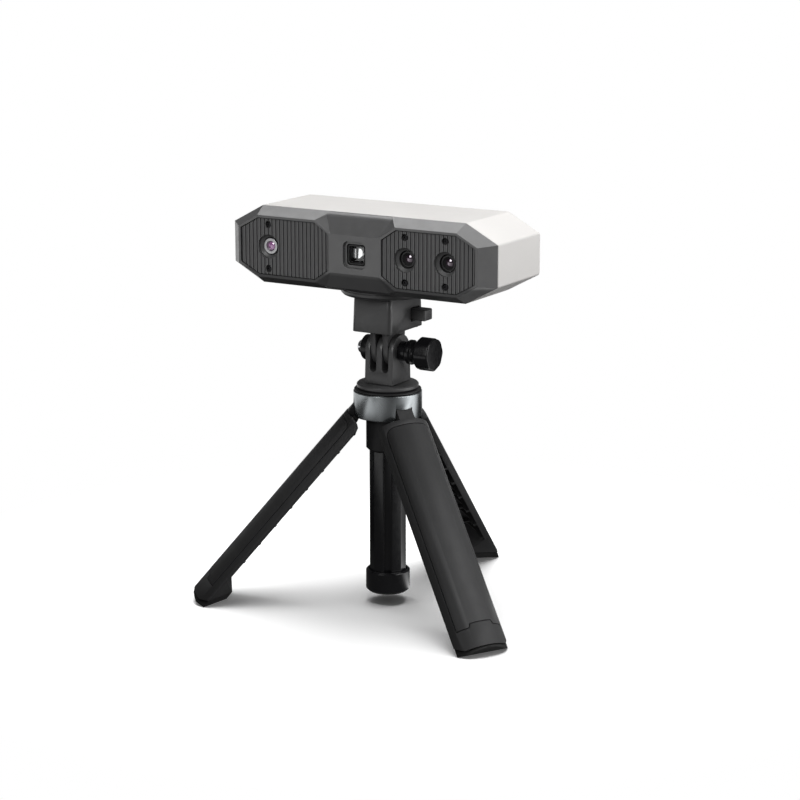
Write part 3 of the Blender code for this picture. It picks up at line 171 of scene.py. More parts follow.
class Skin:
    """Sheets of quads and flat faces that meet edge to edge, gathered into one mesh."""

    def __init__(self):
        self.sheets = []
        self.holed = []

    def sheet(self, grid, around=True):
        """Quads between neighbours in a grid of points; around joins its last column to its first."""
        grid = np.asarray(grid, float)
        index = np.arange(grid.shape[0] * grid.shape[1]).reshape(grid.shape[:2])
        if around:
            index = np.concatenate([index, index[:, :1]], axis=1)
        quads = np.stack([index[:-1, :-1], index[:-1, 1:], index[1:, 1:], index[1:, :-1]], axis=-1)
        self.sheets.append((grid.reshape(-1, 3), quads.reshape(-1, 4)))
        return self

    def rows(self, *loops):
        """Quads between equal closed loops, one after the other."""
        return self.sheet(np.stack(loops))

    def flat(self, *loops):
        """A flat face inside the first loop and outside the others."""
        loops = [np.asarray(loop, float) for loop in loops]
        if len(loops) > 1:
            self.holed.append(loops)
        else:
            self.sheets.append((loops[0], np.arange(len(loops[0]))[None]))
        return self

    def capped(self, *loops):
        """Rows with a flat face at both ends."""
        return self.rows(*loops).flat(loops[0]).flat(loops[-1])

    def mesh(self, name):
        """The closed mesh: doubles are merged and faces point out."""
        points, faces, count = [], [], 0
        for grid, corners in self.sheets:
            points.append(grid)
            faces += (corners + count).tolist()
            count += len(grid)

        def close(work):
            for loops in self.holed:
                edges = []
                for loop in loops:
                    verts = [work.verts.new(point) for point in loop / mm]
                    edges += [work.edges.new(pair) for pair in zip(verts, verts[1:] + verts[:1])]
                bmesh.ops.triangle_fill(work, edges=edges, use_beauty=True, use_dissolve=True)
            bmesh.ops.remove_doubles(work, verts=work.verts, dist=0.002)
            bmesh.ops.recalc_face_normals(work, faces=work.faces)

        result = bpy.data.meshes.new(name)
        result.from_pydata(np.concatenate(points), [], faces)
        return rework(result, close)


def rework(mesh, change):
    """Open a mesh in millimetres, change it and write it back."""
    work = bmesh.new()
    work.from_mesh(mesh)
    bmesh.ops.scale(work, vec=(1 / mm, 1 / mm, 1 / mm), verts=work.verts)
    change(work)
    bmesh.ops.scale(work, vec=(mm, mm, mm), verts=work.verts)
    work.to_mesh(mesh)
    work.free()
    return mesh


def piece(name, made, finish, body, nodes=(), soft=0.0, limit=30.0, segments=2, smooth=35.0):
    """A finished piece on its body, in place of its CAD nodes, with soft edges where asked."""
    mesh = made.mesh(name) if isinstance(made, Skin) else made
    item = bpy.data.objects.new(name, mesh)
    bpy.context.scene.collection.objects.link(item)
    mesh.materials.clear()
    mesh.materials.append(finish)
    mesh.shade_smooth()
    if soft:
        edge = item.modifiers.new("soft_edges", "BEVEL")
        edge.width = soft
        edge.segments = segments
        edge.limit_method = "ANGLE"
        edge.angle_limit = math.radians(limit)
        edge.harden_normals = True
    else:
        mesh.set_sharp_from_angle(angle=math.radians(smooth))
    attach(item, body)
    if nodes:
        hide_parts(*nodes)
    return item


def lathe(name, node, finish, body, points, radii=0.0, axis="Z", arc=4, steps=48, smooth=38.0, hollow=False):
    """A piece turned about its CAD node's own axis. Its profile's corners are arcs whose radii are in
    millimetres; a hollow piece's profile closes on its start."""
    middle = box(node).mean(axis=0)
    middle["XYZ".index(axis)] = 0
    profile = soft_corners(points, np.multiply(radii, mm), arc) if np.any(radii) else points
    rings = turned(profile, axis, middle, steps)
    if hollow:
        rings = np.concatenate([rings, rings[:1]])
    piece(name, Skin().sheet(rings), finish, body, (node,), smooth=smooth)


def softened(node, finish, body, soft, limit=30.0):
    """A CAD node's faces, merged and with flat areas joined, so that its edges can be softened."""
    def join(work):
        bmesh.ops.remove_doubles(work, verts=work.verts, dist=0.001)
        bmesh.ops.dissolve_limit(work, angle_limit=math.radians(1.0), verts=work.verts, edges=work.edges)

    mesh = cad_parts[node].data.copy()
    mesh.name = node
    return piece(f"{node}_surface", rework(mesh, join), finish, body, (node,), soft=soft, limit=limit)


def dress(node, finish):
    """Give a CAD node that stays in the picture its material."""
    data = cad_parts[node].data
    data.materials.clear()
    data.materials.append(finish)


# Materials


def fill(tree, node, key, value):
    """Link a value to a node's input, or set it there."""
    if isinstance(value, bpy.types.NodeSocket):
        tree.links.new(value, node.inputs[key])
    else:
        node.inputs[key].default_value = value


def add_node(tree, kind, *values, **named):
    """A node with inputs filled in by order or by name; names that are no inputs are its settings."""
    made = tree.nodes.new(kind)
    for key, value in named.items():
        if key in made.inputs:
            fill(tree, made, key, value)
        else:
            setattr(made, key, value)
    for place, value in enumerate(values):
        fill(tree, made, place, value)
    return made


class Finish:
    """A Principled material and short ways to wire its textures."""

    def __init__(self, name, colour, roughness, metallic=0.0):
        self.material = bpy.data.materials.new(name)
        self.material.use_nodes = True
        self.tree = self.material.node_tree
        self.shader = self.tree.nodes["Principled BSDF"]
        self.colour = colour
        self.roughness = roughness
        self.place = self.node("ShaderNodeTexCoord").outputs["Object"]
        self.set(Base_Color=(*colour, 1.0), Roughness=roughness, Metallic=metallic)

    def node(self, kind, *values, **named):
        """A node of this material."""
        return add_node(self.tree, kind, *values, **named)

    def set(self, **values):
        """Values set on the shader's sockets, or linked to them."""
        for key, value in values.items():
            fill(self.tree, self.shader, key.replace("_", " "), value)
        return self

    def along(self, axis):
        """One of the object coordinates."""
        return self.node("ShaderNodeSeparateXYZ", self.place).outputs[axis]

    def mapped(self, scale):
        """Object coordinates, scaled."""
        return self.node("ShaderNodeMapping", Vector=self.place, Scale=scale).outputs["Vector"]

    def noise(self, scale, detail=3.0, roughness=0.55, place=None):
        """Noise in object coordinates."""
        return self.node("ShaderNodeTexNoise", Vector=place or self.place, Scale=scale, Detail=detail,
                         Roughness=roughness).outputs["Fac"]

    def span(self, value, low, high, first=0.35, last=0.65, kind="LINEAR"):
        """A value carried from one span to another and held at its ends."""
        return self.node("ShaderNodeMapRange", value, first, last, low, high,
                         interpolation_type=kind).outputs["Result"]

    def steps(self, value, marks, colour=(1.0, 1.0, 1.0)):
        """A colour that follows a value through marks of place and brightness."""
        ramp = self.node("ShaderNodeValToRGB", value)
        bands = ramp.color_ramp.elements
        while len(bands) < len(marks):
            bands.new(0.5)
        for band, (place, bright) in zip(bands, marks):
            band.position = place
            band.color = (*(channel * bright for channel in colour), 1.0)
        return ramp.outputs["Color"]

    def tone(self, value, spread):
        """Base colour that drifts about its own value."""
        return self.set(Base_Color=self.steps(value, ((0.3, 1 - spread), (0.7, 1 + spread)), self.colour))

    def rough(self, value, spread):
        """Roughness that drifts about its own value."""
        return self.set(Roughness=self.span(value, self.roughness - spread, self.roughness + spread))

    def bump(self, height, depth):
        """Surface relief of a given depth."""
        relief = self.node("ShaderNodeBump", Height=height, Strength=1.0, Distance=depth)
        return self.set(Normal=relief.outputs["Normal"])

    def worn(self, **kinds):
        """Noise for the tone, the roughness or the bump: the noise's own values, then the spread or depth."""
        for kind, (*pattern, amount) in kinds.items():
            getattr(self, kind)(self.noise(*pattern), amount)
        return self


def moulded(name, colour, roughness, grain=2600.0, depth=0.02 * mm, spread=0.05, streak=90.0):
    """Moulded plastic: fine spark-eroded grain, faint cloudy tone and uneven gloss."""
    return Finish(name, colour, roughness).worn(tone=(streak, 4.0, spread), rough=(streak * 3, 3.0, 0.04),
                                                bump=(grain, 2.0, 0.6, depth))


def machined(name, colour, roughness, lines=(1.0, 1.0, 60.0), scale=400.0, depth=0.004 * mm, spread=0.06):
    """Turned or drawn metal: fine lines along one direction and a slight change of gloss."""
    made = Finish(name, colour, roughness, 1.0).worn(rough=(60.0, 2.0, 0.015))
    drawn = made.noise(scale, 4.0, 0.7, made.mapped(lines))
    return made.tone(drawn, spread).bump(drawn, depth)


def shell_finish(colour):
    """Pale satin housing: very fine grain and a barely visible warm drift."""
    made = moulded("pale_housing", colour, 0.46, 3200.0, 0.008 * mm, 0.015, 40.0)
    return made.set(Specular_IOR_Level=0.4).material


def charcoal_finish(name, colour, roughness=0.35, under=0.0):
    """Charcoal moulded front with a fine matt grain; below a height its reflection is turned down, a painted
    shade that darkens the lower facets.
    """
    made = moulded(name, colour, roughness, 2800.0, 0.005 * mm, 0.05, 120.0)
    # painted shade: the specular level drops from 1.0 to 0.12 below the given height, so the lower facets read
    # darker
    gloss = made.span(made.along("Z"), 0.12, 1.0, under - 0.8 * mm, under + 0.8 * mm)
    return made.set(Specular_IOR_Level=gloss).material


def rib_finish(colour, top, floor):
    """Charcoal panel whose tone follows the depth: the grooves' walls are painted nearly black, a painted
    shade, and the crests and the groove floors are lighter.
    """
    made = moulded("charcoal_ribs", colour, 0.42, 2800.0, 0.006 * mm, 0.05, 120.0)
    depth = made.span(made.along("Y"), 0.0, 1.0, top, floor)
    # painted shade: the grooves' walls get a twentieth of the colour, the crests and the groove floors are
    # lighter
    painted_wall_shade = made.steps(depth, ((0.0, 1.75), (0.10, 0.05), (0.90, 0.05), (1.0, 1.65)), colour)
    return made.set(Base_Color=painted_wall_shade, Specular_IOR_Level=0.6).material


def black_finish(name, colour, roughness, gloss=0.35, depth=0.006 * mm):
    """Black moulded plastic."""
    made = moulded(name, colour, roughness, 2200.0, depth, 0.08, 150.0)
    return made.set(Specular_IOR_Level=gloss).material


def leg_finish(name, colour):
    """Soft-touch leg: even matt surface with a faint drift along the leg."""
    made = moulded(name, colour, 0.50, 2400.0, 0.006 * mm, 0.06, 60.0)
    return made.set(Specular_IOR_Level=0.18).material


def rubber_finish(name, colour):
    """Rubber foot: rough, with fine pits and dusty patches."""
    return Finish(name, colour, 0.78).worn(tone=(240.0, 5.0, 0.25), rough=(500.0, 3.0, 0.06),
                                           bump=(1700.0, 3.0, 0.7, 0.03 * mm)).material


def anodised_finish(colour):
    """Anodised, lathe-turned ring: hair-fine rings one above the other."""
    return machined("anodised_ring", colour, 0.27, (0.4, 0.4, 12.0), 240.0, 0.0002 * mm, 0.012).material


def chrome_finish():
    """Polished dome nut with faint smears."""
    made = Finish("polished_chrome", (0.62, 0.63, 0.65), 0.07, 1.0)
    return made.worn(rough=(700.0, 3.0, 0.04), bump=(300.0, 2.0, 0.002 * mm)).material


def steel_finish(name="plain_steel", colour=(0.46, 0.46, 0.47), roughness=0.32):
    """Screw steel with fine scratches."""
    return machined(name, colour, roughness, (8.0, 60.0, 8.0), 300.0, 0.004 * mm).material


def lens_finish(name, colour, glow):
    """Coated lens glass: a deep tint that drifts a little under a tinted, mirror-like coat."""
    made = Finish(name, colour, 0.03).worn(tone=(900.0, 2.0, 0.15))
    return made.set(Specular_IOR_Level=0.9, Coat_Weight=1.0, Coat_Roughness=0.02, Coat_IOR=2.2,
                    Coat_Tint=(*glow, 1.0)).material


def window_finish():
    """Clear pane of the projector window, with faint smears."""
    made = Finish("clear_pane", (0.97, 0.98, 0.98), 0.02).worn(rough=(500.0, 3.0, 0.015))
    return made.set(Transmission_Weight=1.0, IOR=1.45).material


def mirror_and_painted_glow_finish():
    """Bright facets of the projector's optics behind the pane: metal with a faint white glow, a painted glow,
    as the optics are no lamp.
    """
    made = Finish("optic_facets", (0.96, 0.97, 0.97), 0.34, 1.0)
    made.worn(rough=(1500.0, 2.0, 0.05), bump=(700.0, 2.0, 0.01 * mm))
    # painted light: the emission lightens the facets, which are no lamp
    return made.set(Emission_Color=white, Emission_Strength=0.45).material


def board_finish():
    """Circuit board: green mask over a fine net of copper tracks."""
    made = Finish("green_board", (0.02, 0.13, 0.06), 0.42)
    tracks = made.node("ShaderNodeTexBrick", Vector=made.mapped((420.0, 420.0, 420.0)), Scale=1.0,
                       Color1=(0.015, 0.115, 0.055, 1.0), Color2=(0.02, 0.16, 0.07, 1.0),
                       Mortar=(0.10, 0.28, 0.10, 1.0))
    tracks.inputs["Mortar Size"].default_value = 0.03
    made.set(Base_Color=tracks.outputs["Color"]).worn(rough=(900.0, 2.0, 0.08))
    return made.bump(tracks.outputs["Fac"], 0.02 * mm).material


def light_finish():
    """Milky lens of the status light."""
    made = Finish("milky_light", (0.80, 0.88, 0.82), 0.30)
    made.worn(tone=(2200.0, 2.0, 0.05), rough=(1200.0, 2.0, 0.08))
    return made.set(Subsurface_Weight=0.3, Subsurface_Scale=0.4 * mm).material


# Settings


def length(name, description, default):
    """A length that a user can change, given in millimetres."""
    return bpy.props.FloatProperty(name=name, description=description, default=default * mm, min=0.0,
                                   precision=5, unit="LENGTH")


def tint(name, description, default):
    """A colour that a user can change."""
    return bpy.props.FloatVectorProperty(name=name, description=description, default=default, size=3,
                                         min=0.0, max=1.0, subtype="COLOR")


def level(name, description, default):
    """A strength that a user can change."""
    return bpy.props.FloatProperty(name=name, description=description, default=default, min=0.0)


class HeadSettings(bpy.types.PropertyGroup):
    """Sizes and colours of the scanner head."""

    corner_cut_x: length("Corner cut across", "Width of the housing's slanting corners", 13.8)
    corner_cut_z: length("Corner cut up", "Height of the housing's slanting corners", 7.4)
    edge_round: length("Rear edge", "Radius of the housing's rear edge", 1.4)
    corner_round: length("Long edges", "Radius of the housing's long edges", 1.2)
    wall: length("Wall", "Thickness of the housing's wall", 1.8)
    face_inset_x: length("Face inset across", "How far the front face is drawn in at its ends", 5.7)
    face_inset_z: length("Face inset up", "How far the front face is drawn in above and below", 3.2)
    face_cut_x: length("Face cut across", "Width of the front face's slanting corners", 9.1)
    face_cut_z: length("Face cut up", "Height of the front face's slanting corners", 4.9)
    centre_half_width: length("Middle", "Half width of the plain middle of the front", 11.0)
    inner_cut_x: length("Notch cut across", "Width of the slants beside the notches", 7.2)
    inner_cut_z: length("Notch cut up", "Height of the slants beside the notches", 4.73)
    notch_half_width: length("Notch", "Half width of the notches at the seam", 14.5)
    panel_rim: length("Panel rim", "Width of the rim round each ribbed panel", 1.0)
    panel_recess: length("Panel recess", "Depth of the recess for each ribbed panel", 1.7)
    rib_pitch: length("Rib pitch", "Distance between neighbouring ribs", 1.8)
    rib_groove: length("Rib groove", "Width of the groove between two ribs", 0.9)
    rib_depth: length("Rib depth", "Depth of the grooves", 0.32)
    lens_hole: length("Lens hole", "Radius of the holes in the ribbed panels", 4.85)
    window: length("Window", "Width of the projector window", 10.5)
    soft_edge: length("Soft edge", "Width of the bezel's softened edges", 0.22)
    shell_colour: tint("Housing", "Colour of the pale housing", (0.715, 0.700, 0.684))
    bezel_colour: tint("Bezel", "Colour of the dark front", (0.084, 0.084, 0.085))
    rib_colour: tint("Ribs", "Colour of the ribbed panels", (0.072, 0.072, 0.073))
    lens_colour: tint("Colour lens", "Tint of the colour lens", (0.52, 0.30, 0.50))


class TripodSettings(bpy.types.PropertyGroup):
    """Sizes and colours of the mount and the tripod."""

    soft_edge: length("Soft edge", "Width of the softened edges of the black pieces", 0.30)
    knob_lobe: length("Knob flutes", "Depth of the flutes round the clamp knob", 0.5)
    mount_colour: tint("Mount", "Colour of the block, the fork and the disc", (0.060, 0.060, 0.061))
    knob_colour: tint("Knob", "Colour of the clamp knob", (0.008, 0.008, 0.009))
    ring_colour: tint("Ring", "Colour of the anodised ring", (0.33, 0.35, 0.36))
    leg_colour: tint("Legs", "Colour of the legs and their covers", (0.054, 0.054, 0.055))
    core_colour: tint("Core", "Colour of the hub's core with its flange", (0.022, 0.022, 0.023))
    column_colour: tint("Column", "Colour of the column and its cap", (0.008, 0.008, 0.009))
    foot_colour: tint("Feet", "Colour of the rubber feet", (0.014, 0.014, 0.014))


class StageSettings(bpy.types.PropertyGroup):
    """Camera, floor and light."""

    floor_colour: tint("Floor", "Colour of the floor near the object", (0.98, 0.98, 0.98))
    sky_level: level("Sky", "Strength of the even light from all round", 0.17)
    gloss_level: level("Mirrored sky", "Strength of the surroundings in reflections", 0.07)
    top_level: level("Top light", "Radiance of the soft light overhead", 2.95)
    side_level: level("Side light", "Radiance of the soft light at the side", 3.8)
    floor_level: level("Floor light", "Radiance of the soft light that only the floor gets", 5.9)
    front_level: level("Front light", "Radiance of the small light in front", 6.2)
    bounce_level: level("Floor's return", "Strength of the light that the floor sends back", 0.10)
    sector_level: level("Mirrored floor", "Strength of the floor's bright sectors in reflections", 2.6)
    lift: level("Floor lift", "Glow that lightens the floor's outer shadows", 0.10)
    lift_start: length("Lift start", "Distance at which the lift begins", 25.0)
    fade_start: length("Fade start", "Distance at which the floor begins to fade", 90.0)
    fade_end: length("Fade end", "Distance at which the floor is even white", 220.0)
    focal: bpy.props.FloatProperty(name="Focal length", description="Focal length of the camera in millimetres",
                                   default=103.3, min=1.0)


# Scanner head


def spread(ring, outer_u, inner_u):
    """Eight corners with four more points on their top edge and four on their bottom edge."""
    places = np.array([outer_u, inner_u, -inner_u, -outer_u])
    top, bottom = (np.stack([places * sign, np.full(4, ring[at, 1])], axis=1)
                   for at, sign in ((2, 1), (6, -1)))
    return np.concatenate([ring[:3], top, ring[3:7], bottom, ring[7:]])


def head_corners(head):
    """Corners of the head's own outline."""
    return octagon(half_width, half_height, head.corner_cut_x, head.corner_cut_z)


def in_head(outline, depth):
    """An outline (across, up) about the head's middle, at a depth behind its front."""
    return set_along(np.asarray(outline, float), front_y + depth, "Y", (0.0, 0.0, head_z))


def shell_skin(head):
    """The housing: its outline runs round, while its rows run out over the front rim, along the outside,
    over the round rear edge, in to the rear opening and back along the inside."""
    arc = 6
    under = 7 * (arc + 1)  # place in each ring of the underside's middle
    corners = head_corners(head)
    low, high = box("port_plate")
    front = shell_box[0, 1] - front_y
    back = head_depth - head.wall
    rim = 0.25 * mm

    def with_middle(outline):
        return np.insert(outline, under, [[0.0, outline[under - 1:under + 1, 1].mean()]], axis=0)

    def ring(shrink, depth, radius=head.corner_round):
        return in_head(with_middle(soft_corners(inset(corners, shrink), radius, arc)), depth)

    radius = 2.0 * mm
    quarter = np.array([(1, -1), (1, 1), (1, 1), (-1, 1), (-1, 1), (-1, -1), (-1, -1), (1, -1)])
    centres = quarter * (high[0] + gap - radius, (high[2] - low[2]) / 2 + gap - radius)
    centres = centres + (0.0, (high[2] + low[2]) / 2 - head_z)
    angles = np.radians(np.arange(-45.0, 315.0, 45.0)[:, None] + np.linspace(0.0, 45.0, arc + 1))
    arcs = centres[:, None] + np.stack([np.cos(angles), np.sin(angles)], axis=-1) * radius
    opening = with_middle(arcs.reshape(-1, 2))

    outside = [ring(rim, front), ring(0.0, front + rim)]
    rear = [ring(head.edge_round * (1 - math.cos(turn)), head_depth - head.edge_round * (1 - math.sin(turn)))
            for turn in np.linspace(0, math.pi / 2, 7)]
    inside = [ring(head.wall, depth, head.corner_round / 2) for depth in (back, front)]
    skin = Skin().rows(*outside).rows(inside[1], outside[0])
    skin.rows(*rear, in_head(opening, head_depth), in_head(opening, back), inside[0])
    hole = circle(4.7 * mm, 48) + box("thread_insert").mean(axis=0)[:2]
    walls = []
    for near, far in ((outside[1], rear[0]), inside):
        grid = np.roll(np.stack([near, far]), -(under + 1), axis=1)
        skin.sheet(grid[:, :-1], around=False)
        bottom = np.concatenate([near[under - 1:under + 2], far[under - 1:under + 2][::-1]])
        walls.append(np.insert(hole, 2, bottom[0, 2], axis=1))
        skin.flat(bottom, walls[-1])
    return skin.rows(*walls)


def panel_corners(head, side, shrink):
    """Anticlockwise corners of a ribbed panel's recess, drawn in evenly."""
    outer = half_width - head.face_inset_x
    half_v = half_height - head.face_inset_z
    inner = head.centre_half_width
    points = np.array([
        (inner, head.inner_cut_z - half_v), (inner + head.inner_cut_x, -half_v),
        (outer - head.face_cut_x, -half_v), (outer, head.face_cut_z - half_v),
        (outer, half_v - head.face_cut_z), (outer - head.face_cut_x, half_v),
        (inner + head.inner_cut_x, half_v), (inner, half_v - head.inner_cut_z)])
    points = inset(points, shrink)
    return points if side > 0 else (points * (-1, 1))[::-1]


def lens_middles(side):
    """Places across of the lenses on one side."""
    names = ("colour_lens_barrel", "depth_lens_1_barrel", "depth_lens_2_barrel")
    places = [box(name)[:, 0].mean() for name in names]
    return [x for x in places if x * side >= 0]


def screw_rise():
    """How far the small screws stand above and below the lenses."""
    return abs(box("bezel_screw_1")[:, 2].mean() - head_z)


def bezel_skin(head):
    """The dark front: flat facets between the front's and the seam's outlines, with two notches, the
    recesses, the lens tunnels, the stepped window and the hollow back."""
    outer_u = head.centre_half_width + head.inner_cut_x
    inner_u = head.notch_half_width
    half_v = half_height - head.face_inset_z
    seam_depth = shell_box[0, 1] - front_y - gap
    hollow_depth = 2.6 * mm
    outline = head_corners(head)
    spigot = inset(outline, head.wall + gap)
    if spigot[2, 0] < outer_u:
        raise ValueError("the notches are wider than the housing's flat top")
    seam, face, spigot, cavity = (spread(corners, outer_u, inner_u) for corners in (
        outline, octagon(half_width - head.face_inset_x, half_v, head.face_cut_x, head.face_cut_z), spigot,
        octagon(half_width - 10.0 * mm, 9.0 * mm, 6.0 * mm, 3.3 * mm)))
    face[[4, 5, 12, 13]] = (np.array([(1, 1), (-1, 1), (-1, -1), (1, -1)])
                            * (head.centre_half_width, half_v - head.inner_cut_z))
    front = in_head(face, 0.0)
    rear = in_head(seam, seam_depth)
    skin = Skin()
    kept = set(range(16))
    t = np.linspace(0, 1, 9)[:, None]
    # each notch: its first corner, the depth and height where its rolled edge starts, and how full it is
    for a, depth, height, roll in ((3, 3.3 * mm, half_height - 2.1 * mm, 0.9),
                                   (11, 2.4 * mm, 1.55 * mm - half_height, 0.5)):
        b, c, d = a + 1, a + 2, a + 3
        knee = np.array([depth + (seam_depth - depth) * 0.45, height + (seam[b, 1] - height) * roll])
        curve = (1 - t) ** 2 * (depth, height) + 2 * t * (1 - t) * knee + t ** 2 * (seam_depth, seam[b, 1])
        left, right = ([in_head([(across, up)], back)[0] for back, up in curve]
                       for across in np.array([inner_u, -inner_u]) * np.sign(height))
        skin.flat((front[a], rear[a], rear[b])).flat((front[d], rear[c], rear[d]))
        skin.flat((front[a], left[0], front[b])).flat((front[d], front[c], right[0]))
        skin.flat((front[b], left[0], right[0], front[c]))
        skin.sheet(np.stack([left, right], axis=1), around=False)
        for near in range(8):
            skin.flat((front[a], left[near + 1], left[near])).flat((front[d], right[near], right[near + 1]))
        kept -= {a, b, c}
    for index in sorted(kept):
        after = (index + 1) % 16
        skin.flat((front[index], front[after], rear[after], rear[index]))

    half, inner = head.window / 2, head.window / 2 - 1.1 * mm
    window = [in_head(round_box(size, size, radius * mm, 8), depth * mm) for size, radius, depth in
              ((half, 2.3, 0.0), (half, 2.3, 1.2), (inner, 1.2, 1.2), (inner, 1.2, 2.6))]
    pockets = [panel_corners(head, side, head.panel_rim) for side in (-1, 1)]
    skin.rows(*window).flat(front, window[0], *[in_head(corners, 0.0) for corners in pockets])
    tunnels = []
    bench = box("optical_bench")[0, 1] - front_y - gap
    for side, corners in zip((-1, 1), pockets):
        floor = in_head(corners, head.panel_recess)
        skin.rows(in_head(corners, 0.0), floor)
        bores = []
        for x in lens_middles(side):
            # mouth, funnel, bore and the sleeve's outside
            rings = [in_head(circle(radius * mm, 64) + (x, 0.0), depth) for radius, depth in
                     ((4.7, head.panel_recess), (4.6, head.panel_recess + 0.1 * mm),
                      (3.55, head.panel_recess + 0.75 * mm), (3.55, bench), (5.1, bench), (5.1, hollow_depth))]
            skin.rows(*rings)
            bores.append(rings[0])
            tunnels.append(rings[-1])
        skin.flat(floor, *bores)
    spigot_depth = bezel_box[1, 1] - front_y
    skin.rows(rear, in_head(spigot, seam_depth), in_head(spigot, spigot_depth), in_head(cavity, spigot_depth),
              in_head(cavity, hollow_depth))
    return skin.flat(in_head(cavity, hollow_depth), window[3], *tunnels)


def ribbed_skin(head, side):
    """A ribbed panel: its front height is a row of soft-edged grooves across; each column of points is
    cut into bands between the panel's edges, the screw holes and the lens holes, whose ends follow
    the circles."""
    corners = panel_corners(head, side, head.panel_rim + gap)
    low, high = corners[:, 0].min(), corners[:, 0].max()
    pitch, half_groove = head.rib_pitch, head.rib_groove / 2
    slope = 0.36 * mm  # width of a groove's walls
    screw = 1.45 * mm  # radius of the screw holes
    count = int((high - low) / pitch)
    middle = (low + high) / 2 - count * pitch / 2 + np.arange(count + 1) * pitch
    offsets = half_groove + slope * np.array([-0.5, -0.38, -0.2, 0.0, 0.2, 0.38, 0.5])
    offsets = np.concatenate([-offsets, [0.0], offsets])
    bow = np.cos(np.linspace(0, math.pi, 41))
    lenses = lens_middles(side)
    columns = [(middle[:, None] + offsets).ravel(), corners[:, 0]]
    columns += [x + head.lens_hole * bow for x in lenses] + [x + screw * bow[::2] for x in lenses]
    x = np.unique(np.round(np.concatenate(columns), 7))
    x = x[(x >= low) & (x <= high)]

    across = np.abs((x - middle[0] + pitch / 2) % pitch - pitch / 2)
    rise = np.clip((half_groove - across) / slope + 0.5, 0, 1)
    height = gap + head.rib_depth * rise * rise * (3 - 2 * rise)
    height[(x < middle[0] - pitch / 2) | (x > middle[-1] + pitch / 2)] = gap
    upper = corners[corners[:, 1] > 0]
    upper = upper[np.argsort(upper[:, 0])]
    top = np.interp(x, upper[:, 0], upper[:, 1])

    def half_chord(radius):
        reach = radius ** 2 - (x[:, None] - np.array(lenses)) ** 2
        return np.sqrt(np.maximum(reach, 0)).max(axis=1)

    lens, small = half_chord(head.lens_hole), half_chord(screw)
    rise_z = np.minimum(screw_rise(), top)
    far = np.where(small > 0, np.minimum(rise_z + small, top), rise_z)
    near = rise_z - small
    back = np.full_like(x, head.panel_recess - gap)
    faces = [[np.stack([x, front_y + depth, head_z + level], axis=1) for depth in (height, back)]
             for level in (-top, -far, -near, -lens, lens, near, far, top)]
    skin = Skin()
    for below, above in zip(faces[::2], faces[1::2]):
        for first, last in zip(below, above):
            skin.sheet(np.stack([first, last]), around=False)
    for pair in faces:
        skin.sheet(np.stack(pair), around=False)
    for end in (0, -1):
        skin.sheet(np.array(faces)[:, :, end].swapaxes(0, 1), around=False)
    return skin


def drop_loose_walls(work):
    """Remove walls that stand inside the panel where two bands meet, and doubled faces."""
    def inside(face):
        across = [edge for edge in face.edges if abs(edge.verts[0].co.y - edge.verts[1].co.y) < 1e-4]
        return all(len(edge.link_faces) > 2 for edge in across)

    bmesh.ops.delete(work, geom=[face for face in work.faces if inside(face)], context="FACES")
    bmesh.ops.dissolve_degenerate(work, dist=1e-4, edges=work.edges)
    bmesh.ops.recalc_face_normals(work, faces=work.faces)


class SCANNER_OT_shell(bpy.types.Operator):
    """Build the pale housing"""

    bl_idname = "scanner.shell"
    bl_label = "Housing"

    def execute(self, context):
        head = context.scene.scanner_head
        piece("housing", shell_skin(head), shell_finish(head.shell_colour), "scanner_head", ("rear_shell",),
              smooth=28.0)
        return {"FINISHED"}


class SCANNER_OT_bezel(bpy.types.Operator):
    """Build the dark front and its two ribbed panels"""

    bl_idname = "scanner.bezel"
    bl_label = "Front"

    def execute(self, context):
        head = context.scene.scanner_head
        # below this height the front's reflection is turned down, a painted shade on its lower facets
        finish = charcoal_finish("charcoal_front", head.bezel_colour, under=head_z - 8.3 * mm)
        piece("front", bezel_skin(head), finish, "scanner_head", ("front_bezel",), soft=head.soft_edge,
              limit=9.0, segments=3)
        crest = front_y + gap
        ribs = rib_finish(head.rib_colour, crest, crest + head.rib_depth)
        for name, side in (("left", -1), ("right", 1)):
            mesh = rework(ribbed_skin(head, side).mesh(f"{name}_ribs"), drop_loose_walls)
            piece(f"{name}_ribs", mesh, ribs, "scanner_head", (f"{name}_ribbed_panel",), smooth=50.0)
        return {"FINISHED"}


